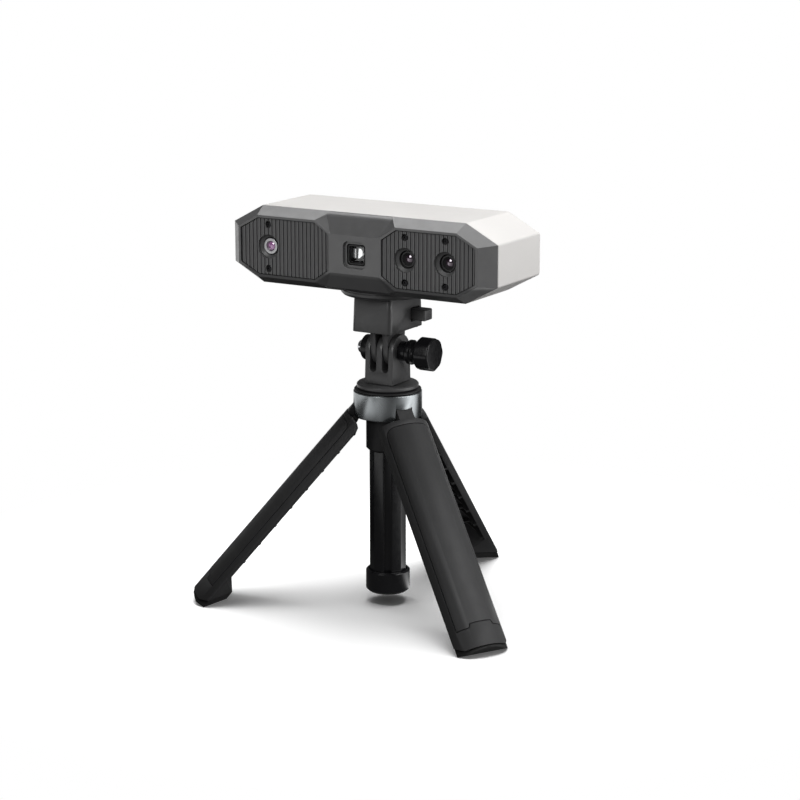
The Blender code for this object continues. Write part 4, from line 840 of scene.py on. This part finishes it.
class SCANNER_OT_lenses(bpy.types.Operator):
    """Build the three lenses and the small screws beside them"""

    bl_idname = "scanner.lenses"
    bl_label = "Lenses"

    def execute(self, context):
        head = context.scene.scanner_head
        ring = machined("bright_lens_ring", (0.50, 0.50, 0.51), 0.40, (1.0, 1.0, 1.0), 900.0).material
        barrel = black_finish("lens_barrel", (0.022, 0.022, 0.023), 0.38)
        pink = lens_finish("colour_lens_coat", head.lens_colour, (0.95, 0.62, 0.95))
        purple = lens_finish("depth_lens_coat", (0.014, 0.004, 0.011), (0.85, 0.50, 0.85))
        crown = 0.36 * mm
        dish = 0.75 * mm
        # the last value is where the rim's flat front begins, as a share of the radius
        for name, rim, glass, lip in (("colour_lens", ring, pink, 0.60), ("depth_lens_1", barrel, purple, 0.72),
                                      ("depth_lens_2", barrel, purple, 0.72)):
            (_, front, bottom), (_, back, top) = box(f"{name}_barrel")
            pane = box(f"{name}_glass")
            radius, reach = (top - bottom) / 2, (pane[1, 2] - pane[0, 2]) / 2
            bore = reach + 0.1 * mm
            rim_profile = [(bore, back), (bore, front + dish), (bore + 0.15 * mm, front + dish - 0.1 * mm),
                           (radius * lip, front + 0.25 * mm), (radius * (lip + 0.06), front), (radius, front),
                           (radius, back)]
            lathe(f"{name}_rim", f"{name}_barrel", rim, "scanner_head", rim_profile,
                  (0, 0, 0.05, 0.08, 0.08, 0.18, 0), "Y", steps=64, smooth=40.0, hollow=True)
            tilt = np.linspace(0, 1, 14)
            dome = np.stack([reach * tilt, pane[0, 1] + crown * tilt ** 2], axis=1)
            dome = np.concatenate([dome, [(reach, pane[1, 1]), (0.0, pane[1, 1])]])
            lathe(f"{name}_dome", f"{name}_glass", glass, "scanner_head", dome, axis="Y", smooth=40.0)
        steel = steel_finish("dark_screw", (0.018, 0.018, 0.019), 0.16)
        for number in range(1, 7):
            node = f"bezel_screw_{number}"
            piece(f"small_screw_{number}", small_screw(node), steel, "scanner_head", (node,), smooth=30.0)
        return {"FINISHED"}


def small_screw(node):
    """Socket screw along Y: rings that turn from a hexagon at the socket into circles outside."""
    front, back = box(node)[:, 1]
    middle = box(node).mean(axis=0) * (1, 0, 1)
    head, height, shank, soft = 1.1 * mm, 0.6 * mm, 0.6 * mm, 0.12 * mm
    socket, depth, end = 0.55 * head, 0.7 * height, back - front
    tip = 0.001  # the ends' last ring, as a share of the ring before
    disc = circle(1.0, 36)
    sector = (np.linspace(0, 2 * math.pi, 36, endpoint=False) + math.pi / 6) % (math.pi / 3) - math.pi / 6
    hexagon = disc * (math.cos(math.pi / 6) / np.cos(sector))[:, None]
    rings = [set_along(shape * size, front + along, "Y", middle) for shape, size, along in (
        (hexagon, socket * tip, depth), (hexagon, socket, depth), (hexagon, socket, 0.0),
        (disc, head - soft, 0.0), (disc, head - 0.3 * soft, 0.3 * soft), (disc, head, soft),
        (disc, head, height), (disc, shank, height), (disc, shank, end), (disc, shank * tip, end))]
    return Skin().rows(*rings)


class SCANNER_OT_projector(bpy.types.Operator):
    """Build the projector window, its pane and the optics behind it"""

    bl_idname = "scanner.projector"
    bl_label = "Projector window"

    def execute(self, context):
        (_, front, _), (outer, back, _) = box("projector_frame") - (0.0, front_y, 0.0)
        (_, seat, _), (half_u, rear, half_v) = box("projector_glass") - (0.0, front_y, head_z)
        step = front + 0.9 * mm
        loops = []
        # from the back over the rim and down the funnel: half width and height, and how many millimetres
        # are added to each, the corners' radius in millimetres, and the depth
        for base_u, base_v, more_u, more_v, radius, depth in (
                (outer, outer, 0.0, 0.0, 1.2, back), (outer, outer, 0.0, 0.0, 1.2, front + 0.12 * mm),
                (outer, outer, -0.12, -0.12, 1.08, front), (outer, outer, -0.42, -0.42, 0.85, front),
                (outer, outer, -0.50, -0.50, 0.78, front + 0.10 * mm), (half_u, half_v, 0.55, 0.45, 0.50, step),
                (half_u, half_v, 0.40, 0.35, 0.42, step), (half_u, half_v, 0.10, 0.10, 0.30, seat - gap),
                (half_u, half_v, 0.15, 0.15, 0.25, seat - gap / 2), (half_u, half_v, 0.15, 0.15, 0.25, back)):
            shape = round_box(base_u + more_u * mm, base_v + more_v * mm, radius * mm, 6)
            loops.append(in_head(shape, depth))
        black = black_finish("window_frame", (0.030, 0.030, 0.031), 0.36)
        piece("window_frame", Skin().rows(*loops, loops[0]), black, "scanner_head", ("projector_frame",),
              smooth=40.0)
        bevel = 0.06 * mm
        loops = [in_head(round_box(half_u - shrink, half_v - shrink, 0.3 * mm, 4), depth)
                 for shrink, depth in ((bevel, seat), (0.0, seat + bevel), (0.0, rear))]
        piece("window_pane", Skin().capped(*loops), window_finish(), "scanner_head", ("projector_glass",),
              smooth=25.0)
        dress("projector_module", black_finish("projector_body", (0.02, 0.02, 0.022), 0.35))
        piece("optic_facets", optic_facets(rear + 0.02 * mm, half_u, half_v), mirror_and_painted_glow_finish(), "scanner_head",
              smooth=20.0)
        return {"FINISHED"}


def optic_facets(depth, half_u, half_v):
    """Three bright facets behind the pane: a narrow bar, a wider six-sided plate and an edge with a dent,
    each with its front drawn in."""
    skin = Skin()
    bar = np.array([(-0.90, -0.60), (-0.78, -0.60), (-0.78, 0.60), (-0.90, 0.60)])
    plate = np.array([(-0.40, -0.66), (-0.16, -0.60), (0.34, -0.22), (0.34, 0.36), (0.06, 0.68), (-0.28, 0.68)])
    edge = np.array([(0.66, -0.60), (0.84, -0.66), (0.84, 0.66), (0.66, 0.60), (0.52, 0.0)])
    for shape in (bar, plate, edge):
        corners = shape * (half_u, half_v)
        skin.capped(in_head(inset(corners, 0.03 * mm), depth), in_head(corners, depth + 0.05 * mm),
                    in_head(corners, depth + 0.24 * mm))
    return skin


class SCANNER_OT_rear(bpy.types.Operator):
    """Build the rear plate with its data socket, scan button and status light"""

    bl_idname = "scanner.rear"
    bl_label = "Rear plate"

    def execute(self, context):
        (_, inner, low), (half_u, outer, high) = box("port_plate")
        half_v, middle_z = (high - low) / 2, (high + low) / 2
        socket, button, light = box("data_socket"), box("scan_button"), box("status_light")
        button_radius = 3.6 * mm
        light_radius = (light[1, 0] - light[0, 0]) / 2
        soft = 0.15 * mm

        def at(outline, y, x=0.0, z=middle_z):
            return set_along(outline, y, "Y", (x, 0.0, z))

        edge = [at(round_box(half_u - s, half_v - s, 2.0 * mm - s, 8), y) for s, y in
                ((0.0, inner), (0.0, outer - gap), (0.09 * mm, outer - 0.09 * mm), (gap, outer))]
        size_u, _, size_v = (socket[1] - socket[0]) / 2
        x, _, z = socket.mean(axis=0)
        skin = Skin().rows(*edge)
        holes = []
        for outline, *place in ((round_box(size_u + gap, size_v + gap, 1.65 * mm, 8), x, z),
                                (circle(button_radius + gap, 48), button[:, 0].mean(), middle_z),
                                (circle(light_radius + gap, 24), light[:, 0].mean(), middle_z)):
            holes.append([at(outline + unit(outline) * soft, outer, *place), at(outline, outer - soft, *place),
                          at(outline, inner, *place)])
            skin.rows(*holes[-1])
        for end in (-1, 0):
            skin.flat(edge[end], *[rings[-1 - end] for rings in holes])
        piece("rear_plate", skin, charcoal_finish("rear_plate", (0.060, 0.061, 0.063), 0.44), "scanner_head",
              ("port_plate",), smooth=32.0)

        back, mouth = socket[:, 1]
        rings = []
        for shrink, y in ((0.0, back), (0.0, mouth - 0.1 * mm), (0.1, mouth), (0.35, mouth),
                          (0.45, mouth - 0.1 * mm), (0.45, back + 2.6 * mm)):
            shape = round_box(size_u - shrink * mm, size_v - shrink * mm, (1.45 - shrink * 0.9) * mm, 8)
            rings.append(at(shape, y, x, z))
        tongue = [at(round_box(3.2 * mm, 0.35 * mm, 0.25 * mm, 3), y, x, z)
                  for y in (back + 2.7 * mm, mouth - 1.0 * mm)]
        steel = steel_finish("socket_steel", (0.52, 0.52, 0.53), 0.28)
        piece("socket_shell", Skin().capped(*rings).capped(*tongue), steel, "scanner_head", ("data_socket",),
              smooth=32.0)

        inner, outer = button[:, 1]
        lip, lip_end = 4.2 * mm, inner + 0.8 * mm
        lathe("button_cap", "scan_button", rubber_finish("button_rubber", (0.030, 0.030, 0.031)),
              "scan_button_body",
              [(0.0, inner), (lip, inner), (lip, lip_end), (button_radius, lip_end),
               (button_radius, outer - 0.1 * mm), (button_radius * 0.88, outer),
               (button_radius * 0.80, outer - 0.08 * mm), (0.0, outer - 0.35 * mm)],
              (0, 0, 0, 0, 0.3, 0.25, 0.3, 0), "Y", arc=5, steps=56)
        turn = np.linspace(0, math.pi / 2, 8)
        dome = np.stack([light_radius * np.sin(turn), light[1, 1] - 0.35 * mm * (1 - np.cos(turn))], axis=1)
        lathe("light_lens", "status_light", light_finish(), "scanner_head",
              np.concatenate([dome, [(light_radius, light[0, 1]), (0.0, light[0, 1])]]), axis="Y", steps=32,
              smooth=40.0)
        return {"FINISHED"}


class SCANNER_OT_inside(bpy.types.Operator):
    """Give the pieces inside the head their finishes"""

    bl_idname = "scanner.inside"
    bl_label = "Inside the head"

    def execute(self, context):
        plain = black_finish("module_housing", (0.03, 0.03, 0.032), 0.42)
        alloy = machined("drawn_alloy", (0.68, 0.69, 0.70), 0.36, (60.0, 6.0, 6.0), 200.0).material
        for node in ("colour_camera_module", "depth_camera_module_1", "depth_camera_module_2", "scan_switch"):
            dress(node, plain)
        for node in ("optical_bench", "heat_sink"):
            dress(node, alloy)
        dress("main_board", board_finish())
        dress("thread_insert", machined("turned_brass", (0.72, 0.52, 0.22), 0.30, (1.0, 1.0, 70.0)).material)
        return {"FINISHED"}


# Mount


class SCANNER_OT_mount(bpy.types.Operator):
    """Build the release plate, its stud, the quick-release block and the release button"""

    bl_idname = "scanner.mount"
    bl_label = "Quick-release mount"

    def execute(self, context):
        tripod = context.scene.scanner_tripod
        dark = black_finish("mount_plastic", tripod.mount_colour, 0.36, 0.55)
        low, high = box("release_plate")[:, 2]
        start, end = box("plate_screw")[:, 2]
        radius = np.ptp(box("release_plate")[:, 0]) / 2
        bore, waist, head, thread = 3.4 * mm, 3.8 * mm, 4.8 * mm, 3.1 * mm
        lathe("plate_disc", "release_plate", dark, "scanner_head",
              [(bore, low), (radius - 0.9 * mm, low), (radius, low + 0.9 * mm), (radius, high - 0.7 * mm),
               (radius - 0.35 * mm, high - 0.6 * mm), (radius - 0.35 * mm, high), (bore, high)],
              (0, 0.3, 0.3, 0.1, 0.05, 0.1, 0), steps=96, smooth=32.0, hollow=True)
        top = low - gap
        third = (top - start) / 3
        lathe("stud", "plate_screw", steel_finish(), "scanner_head",
              [(0.0, start), (head, start), (head, start + third), (waist, start + third), (waist, top - third),
               (head, top - third), (head, top), (thread, top), (thread, end), (0.0, end)],
              (0, 0.4, 0.1, 0.2, 0.2, 0.1, 0.1, 0.05, 0.3, 0))
        softened("release_block", dark, "block_body", tripod.soft_edge)
        softened("release_button", dark, "release_button_body", 0.2 * mm)
        coil = box("button_spring")
        wire, turns = 0.2 * mm, 3
        radius = (coil[1, 2] - coil[0, 2]) / 2 - wire
        along = np.linspace(coil[1, 0] - wire, coil[0, 0] + wire, turns * 32 + 1)
        angle = np.linspace(0, 2 * math.pi * turns, len(along))
        rounds = np.stack([np.cos(angle), np.sin(angle)], axis=1) * radius
        path = set_along(rounds, along, "X", coil.mean(axis=0) * (0, 1, 1))
        piece("button_coil", tube_along(path, wire, 10), steel_finish("spring_wire"), "release_button_body",
              ("button_spring",), smooth=40.0)
        return {"FINISHED"}


def tube_along(path, radius, sides):
    """A round tube: at each point of the path, a circle square to the path's direction, closed at
    both ends."""
    ahead = unit(np.gradient(path, axis=0))
    helper = np.broadcast_to(np.array([1.0, 0.0, 0.0]), path.shape)
    across = unit(np.cross(ahead, helper))
    up = np.cross(ahead, across)
    turn = circle(radius, sides)
    rings = path[:, None] + across[:, None] * turn[None, :, :1] + up[:, None] * turn[None, :, 1:]
    return Skin().capped(*rings)


class SCANNER_OT_fork(bpy.types.Operator):
    """Build the three-prong fork, its disc and its screw"""

    bl_idname = "scanner.fork"
    bl_label = "Fork"

    def execute(self, context):
        tripod = context.scene.scanner_tripod
        dark = black_finish("fork_plastic", tripod.mount_colour, 0.36, 0.5)
        softened("fork", dark, "fork_body", tripod.soft_edge)
        (_, _, low), (radius, _, high) = box("fork_disc")
        bore, soft = 3.4 * mm, 0.5 * mm
        lathe("disc", "fork_disc", dark, "fork_body",
              [(bore, low), (radius - soft, low), (radius, low + soft), (radius, high - soft),
               (radius - soft, high), (bore, high)],
              (0, 0.25, 0.25, 0.25, 0.25, 0), steps=96, smooth=32.0, hollow=True)
        low, high = box("fork_screw")[:, 2]
        thread, head, neck = 3.1 * mm, 4.5 * mm, high - 2.0 * mm
        lathe("centre_screw", "fork_screw", steel_finish("centre_steel"), "fork_body",
              [(0.0, low), (thread, low), (thread, neck), (head, neck), (head, high), (0.0, high)],
              (0, 0.3, 0.1, 0.1, 0.3, 0))
        return {"FINISHED"}


class SCANNER_OT_clamp(bpy.types.Operator):
    """Build the clamp knob with its bolt, the nut holder and the dome nut"""

    bl_idname = "scanner.clamp"
    bl_label = "Clamp"

    def execute(self, context):
        tripod = context.scene.scanner_tripod
        gloss = black_finish("knob_plastic", tripod.knob_colour, 0.22, 0.3, 0.002 * mm)
        start, end = box("clamp_knob")[:, 0]
        lobes = 8
        sides = lobes * 16
        flute = (1 - np.cos(lobes * np.linspace(0, 2 * math.pi, sides, endpoint=False))) / 2
        bore, neck, flare, waist, grip = 2.7 * mm, 4.0 * mm, 5.0 * mm, 4.2 * mm, 6.7 * mm
        seat, neck_end, flare_end = start + 6.0 * mm, start + 3.0 * mm, start + 5.2 * mm
        grip_start = end - 7.0 * mm
        points = [(0.0, seat), (bore, seat), (bore, start), (neck, start), (neck, neck_end),
                  (flare, neck_end + 0.7 * mm), (flare, flare_end), (waist, flare_end + 0.8 * mm),
                  (waist + 0.6 * mm, grip_start - 0.6 * mm), (grip - 0.9 * mm, grip_start + 0.1 * mm),
                  (grip, grip_start + 1.0 * mm), (grip, end - 0.45 * mm), (grip - 0.45 * mm, end), (0.0, end)]
        radii = np.array([0, 0, 0.15, 0.3, 0.4, 0.5, 0.4, 0.5, 0.5, 0.3, 0.4, 0.5, 0.4, 0]) * mm
        reach, along = soft_corners(points, radii, 5).T
        rise = np.clip((along - grip_start + 0.2 * mm) / (1.6 * mm), 0, 1)
        rise = rise * rise * (3 - 2 * rise) * np.clip((reach - grip * 0.55) / (grip * 0.35), 0, 1)
        depth = tripod.knob_lobe * 0.55 * rise
        rings = circle(1.0, sides) * (reach[:, None] - depth[:, None] * flute)[:, :, None]
        skin = Skin().sheet(set_along(rings, along[:, None], "X", (0.0, tripod_y, tilt_z)))
        piece("knob", skin, gloss, "clamp_screw", ("clamp_knob",), smooth=34.0)

        (low, _, bottom), (high, _, top) = bolt_box
        radius = (top - bottom) / 2
        lathe("bolt", "clamp_bolt", steel_finish("bolt_steel"), "clamp_screw",
              [(0.0, low), (radius, low), (radius, high), (0.0, high)], (0, 0.3, 0.3, 0), "X")
        seat = low - gap
        (low, _, bottom), (high, _, top) = box("nut_holder")
        outer, inner = (top - bottom) / 2, 3.5 * mm
        lathe("nut_cup", "nut_holder", gloss, "fork_body",
              [(outer, high), (outer, low), (inner, low), (inner, high)], (0.1, 0.6, 0.25, 0), "X", arc=5,
              steps=72, smooth=34.0, hollow=True)
        (low, _, bottom), (high, _, top) = box("dome_nut")
        radius = (top - bottom) / 2
        turn = np.linspace(0, math.pi / 2, 14)
        dome = np.stack([radius * np.sin(turn), low + radius * (1 - np.cos(turn))], axis=1)
        lathe("chrome_nut", "dome_nut", chrome_finish(), "fork_body",
              np.concatenate([dome, [(radius, high - 0.1 * mm), (radius - 0.1 * mm, high), (bore, high),
                                     (bore, seat), (0.0, seat)]]), axis="X", steps=56)
        return {"FINISHED"}


# Tripod


class SCANNER_OT_hub(bpy.types.Operator):
    """Build the silver ring, the black core and the hinge pins"""

    bl_idname = "scanner.hub"
    bl_label = "Hub"

    def execute(self, context):
        tripod = context.scene.scanner_tripod
        softened("hub_ring", anodised_finish(tripod.ring_colour), "tripod_hub", 0.18 * mm)
        softened("hub_core", black_finish("core_plastic", tripod.core_colour, 0.38), "tripod_hub", 0.2 * mm)
        for number in (1, 2, 3):
            softened(f"hinge_pin_{number}", steel_finish(f"pin_steel_{number}"), "tripod_hub", 0.1 * mm)
        return {"FINISHED"}


class SCANNER_OT_column(bpy.types.Operator):
    """Build the sliding column and its end cap"""

    bl_idname = "scanner.column"
    bl_label = "Column"

    def execute(self, context):
        tripod = context.scene.scanner_tripod
        gloss = black_finish("column_plastic", tripod.column_colour, 0.22, 0.4, 0.002 * mm)
        softened("column", gloss, "column_body", 0.35 * mm, 20.0)
        (_, _, low), (radius, _, high) = box("end_cap")
        corner, floor = widest("column") + gap, low + 2.4 * mm
        lathe("cap", "end_cap", gloss, "column_body",
              [(0.0, low), (radius - 1.2 * mm, low), (radius, low + 1.2 * mm), (radius, high - 0.6 * mm),
               (radius - 0.6 * mm, high), (corner, high), (corner, floor), (0.0, floor)],
              (0, 0.6, 0.6, 0.3, 0.2, 0, 0, 0), arc=5, steps=96, smooth=34.0)
        return {"FINISHED"}


class SCANNER_OT_legs(bpy.types.Operator):
    """Build the three legs with their covers and rubber feet"""

    bl_idname = "scanner.legs"
    bl_label = "Legs"

    def execute(self, context):
        tripod = context.scene.scanner_tripod
        leg = leg_finish("leg_shell", tripod.leg_colour)
        cover = leg_finish("leg_cover", tripod.leg_colour)
        foot = rubber_finish("foot_rubber", tripod.foot_colour)
        for number in (1, 2, 3):
            body = f"leg_{number}_body"
            for item in (softened(f"leg_{number}", leg, body, 0.3 * mm),
                         softened(f"leg_{number}_cover", cover, body, 0.15 * mm),
                         softened(f"foot_pad_{number}", foot, body, 0.4 * mm)):
                leave_out(item, "not_lit_from_the_front")
        return {"FINISHED"}


# Stage


def floor_finish(stage):
    """White floor that keeps the object's shadow and fades to even white away from it.

    Reflections see a dim floor with painted bright sectors, a painted reflection of the lamps, darker near the
    object and behind its left side, a painted shade; light that comes back from it is weak, as on a table among
    dark cloths.
    """
    made = Finish("pale_floor", stage.floor_colour, 0.9).worn(tone=(6.0, 2.0, 0.004))
    distance = made.node("ShaderNodeVectorMath", made.place, operation="LENGTH").outputs["Value"]
    fade, lift = (made.span(distance, 0.0, 1.0, start, end, "SMOOTHSTEP") for start, end in
                  ((stage.fade_start, stage.fade_end), (stage.lift_start, stage.fade_start)))
    glow = made.node("ShaderNodeMath", lift, stage.lift, operation="MULTIPLY").outputs["Value"]
    made.set(Specular_IOR_Level=0.0, Emission_Color=white, Emission_Strength=glow)

    # painted reflection: brightness by angle in degrees, for the near and the far part of the floor, which only
    # reflections see
    angle = made.node("ShaderNodeTexGradient", made.place, gradient_type="RADIAL").outputs["Fac"]
    right = ((22, 1.0), (40, 0.50), (65, 0.06), (98, 0.40))
    near = ((-180, 0.06), (-130, 0.03), (-60, 0.05), (-30, 0.03), (-5, 0.08), (10, 0.80), *right, (140, 0.16),
            (180, 0.06))
    far = ((-180, 0.34), (-150, 0.66), (-110, 0.32), (-60, 0.06), (-25, 0.10), (5, 0.55), *right, (140, 0.40),
           (180, 0.34))
    near, far = (made.steps(angle, [(place / 360 + 0.5, bright) for place, bright in marks])
                 for marks in (near, far))
    sector = made.node("ShaderNodeMix", data_type="RGBA", Factor=made.span(distance, 0.0, 1.0, 0.17, 0.25),
                       A=near, B=far).outputs["Result"]
    # painted shade: the floor behind and to the left of the object is darkened in reflections
    behind = made.node("ShaderNodeVectorMath", made.place, (-0.75, 0.66, 0.0), operation="DOT_PRODUCT")
    painted_reflection_shade = made.steps(made.span(behind.outputs["Value"], 0.0, 1.0, 0.0, 0.40),
                       ((0.0, 1.0), (0.12, 0.04), (0.60, 0.04), (0.85, 1.0)))
    painted_floor_reflection = made.node("ShaderNodeVectorMath", sector, painted_reflection_shade, operation="MULTIPLY").outputs["Vector"]

    path = made.node("ShaderNodeLightPath").outputs
    seen = made.node("ShaderNodeMath", fade, path["Is Camera Ray"], operation="MULTIPLY").outputs["Value"]
    surface = made.shader.outputs["BSDF"]
    for share, colour, bright in ((seen, white, 1.0), (path["Is Diffuse Ray"], white, stage.bounce_level),
                                  (path["Is Glossy Ray"], painted_floor_reflection, stage.sector_level)):
        glow = made.node("ShaderNodeEmission", colour, bright).outputs["Emission"]
        surface = made.node("ShaderNodeMixShader", share, surface, glow).outputs["Shader"]
    made.tree.links.new(surface, made.tree.nodes["Material Output"].inputs["Surface"])
    return made.material


def leave_out(item, group):
    """Put an object among those that a light, whose receivers are this group, doesn't reach."""
    held = bpy.data.collections.get(group) or bpy.data.collections.new(group)
    held.objects.link(item)
    held.collection_objects[len(held.collection_objects) - 1].light_linking.link_state = "EXCLUDE"


def soft_light(name, place, aim, size, radiance):
    """A rectangular soft light that faces a point and looks as bright as the radiance says."""
    data = bpy.data.lights.new(name, "AREA")
    data.shape = "RECTANGLE"
    data.size, data.size_y = size
    data.energy = radiance * math.pi * size[0] * size[1]
    item = bpy.data.objects.new(name, data)
    bpy.context.scene.collection.objects.link(item)
    item.location = place
    item.rotation_euler = (Vector(aim) - Vector(place)).to_track_quat("-Z", "Y").to_euler()
    return item


class SCANNER_OT_stage(bpy.types.Operator):
    """Set up the camera, the pale floor and the soft light"""

    bl_idname = "scanner.stage"
    bl_label = "Stage"

    def execute(self, context):
        stage = context.scene.scanner_stage
        data = bpy.data.cameras.new("camera")
        data.lens = stage.focal
        data.sensor_width = 36.0
        data.clip_start = 0.01
        camera = bpy.data.objects.new("camera", data)
        camera.location = (0.4638, -0.7866, 0.2967)
        below_level, heading = 13.29, 30.73  # degrees
        camera.rotation_euler = (math.radians(90.0 - below_level), 0.0, math.radians(heading))
        context.scene.collection.objects.link(camera)
        context.scene.camera = camera

        reach = 8.0
        mesh = bpy.data.meshes.new("floor")
        mesh.from_pydata([(-reach, -reach, 0), (reach, -reach, 0), (reach, reach, 0), (-reach, reach, 0)], [],
                         [(0, 1, 2, 3)])
        mesh.materials.append(floor_finish(stage))
        floor = bpy.data.objects.new("floor", mesh)
        context.scene.collection.objects.link(floor)

        middle = (0.0, 0.0, 0.12)
        soft_light("top_light", (-0.11, 0.14, 0.78), middle, (0.74, 0.62), stage.top_level)
        side = soft_light("side_light", (0.83, 0.06, 0.49), middle, (0.80, 0.80), stage.side_level)
        front = soft_light("front_light", (-0.12, -0.93, 0.56), middle, (0.40, 0.40), stage.front_level)
        for item, group in ((side, "not_lit_from_the_side"), (front, "not_lit_from_the_front")):
            leave_out(floor, group)
            item.light_linking.receiver_collection = bpy.data.collections[group]
        only = bpy.data.collections.new("lit_from_right_above")
        only.objects.link(floor)
        above = soft_light("floor_light", (0.0, -0.02, 0.80), (0.0, -0.015, 0.0), (0.55, 0.55),
                           stage.floor_level)
        above.light_linking.receiver_collection = only

        world = bpy.data.worlds.new("studio")
        context.scene.world = world
        world.use_nodes = True
        tree = world.node_tree
        path = tree.nodes.new("ShaderNodeLightPath").outputs
        strength = stage.sky_level
        for ray, bright in (("Is Glossy Ray", stage.gloss_level), ("Is Camera Ray", 1.0)):
            pick = add_node(tree, "ShaderNodeMapRange", path[ray], 0.0, 1.0, strength, bright)
            strength = pick.outputs["Result"]
        tree.nodes["Background"].inputs["Color"].default_value = white
        tree.links.new(strength, tree.nodes["Background"].inputs["Strength"])
        context.scene.view_settings.view_transform = "Standard"
        return {"FINISHED"}


class SCANNER_PT_panel(bpy.types.Panel):
    """Lists the build steps and their settings"""

    bl_label = "Scanner"
    bl_idname = "SCANNER_PT_panel"
    bl_space_type = "VIEW_3D"
    bl_region_type = "UI"
    bl_category = "Scanner"

    def draw(self, context):
        layout = self.layout
        for operator in operators:
            layout.operator(operator.bl_idname)
        for group, kind in settings:
            column = layout.column(align=True)
            column.label(text=kind.__doc__)
            for name in kind.__annotations__:
                column.prop(getattr(context.scene, group), name)


settings = (("scanner_head", HeadSettings), ("scanner_tripod", TripodSettings),
            ("scanner_stage", StageSettings))
operators = (SCANNER_OT_stage, SCANNER_OT_shell, SCANNER_OT_bezel, SCANNER_OT_lenses, SCANNER_OT_projector,
             SCANNER_OT_rear, SCANNER_OT_inside, SCANNER_OT_mount, SCANNER_OT_fork, SCANNER_OT_clamp,
             SCANNER_OT_hub, SCANNER_OT_column, SCANNER_OT_legs)


def register():
    """Add the settings, the operators and the panel to Blender."""
    for group, kind in settings:
        bpy.utils.register_class(kind)
        setattr(bpy.types.Scene, group, bpy.props.PointerProperty(type=kind))
    for kind in (*operators, SCANNER_PT_panel):
        bpy.utils.register_class(kind)


def unregister():
    """Take them away again."""
    for kind in (SCANNER_PT_panel, *reversed(operators)):
        bpy.utils.unregister_class(kind)
    for group, kind in reversed(settings):
        delattr(bpy.types.Scene, group)
        bpy.utils.unregister_class(kind)


def main():
    """Register everything and build each group in order."""
    register()
    for operator in operators:
        category, name = operator.bl_idname.split(".")
        getattr(getattr(bpy.ops, category), name)()


if __name__ == "__main__":
    main()
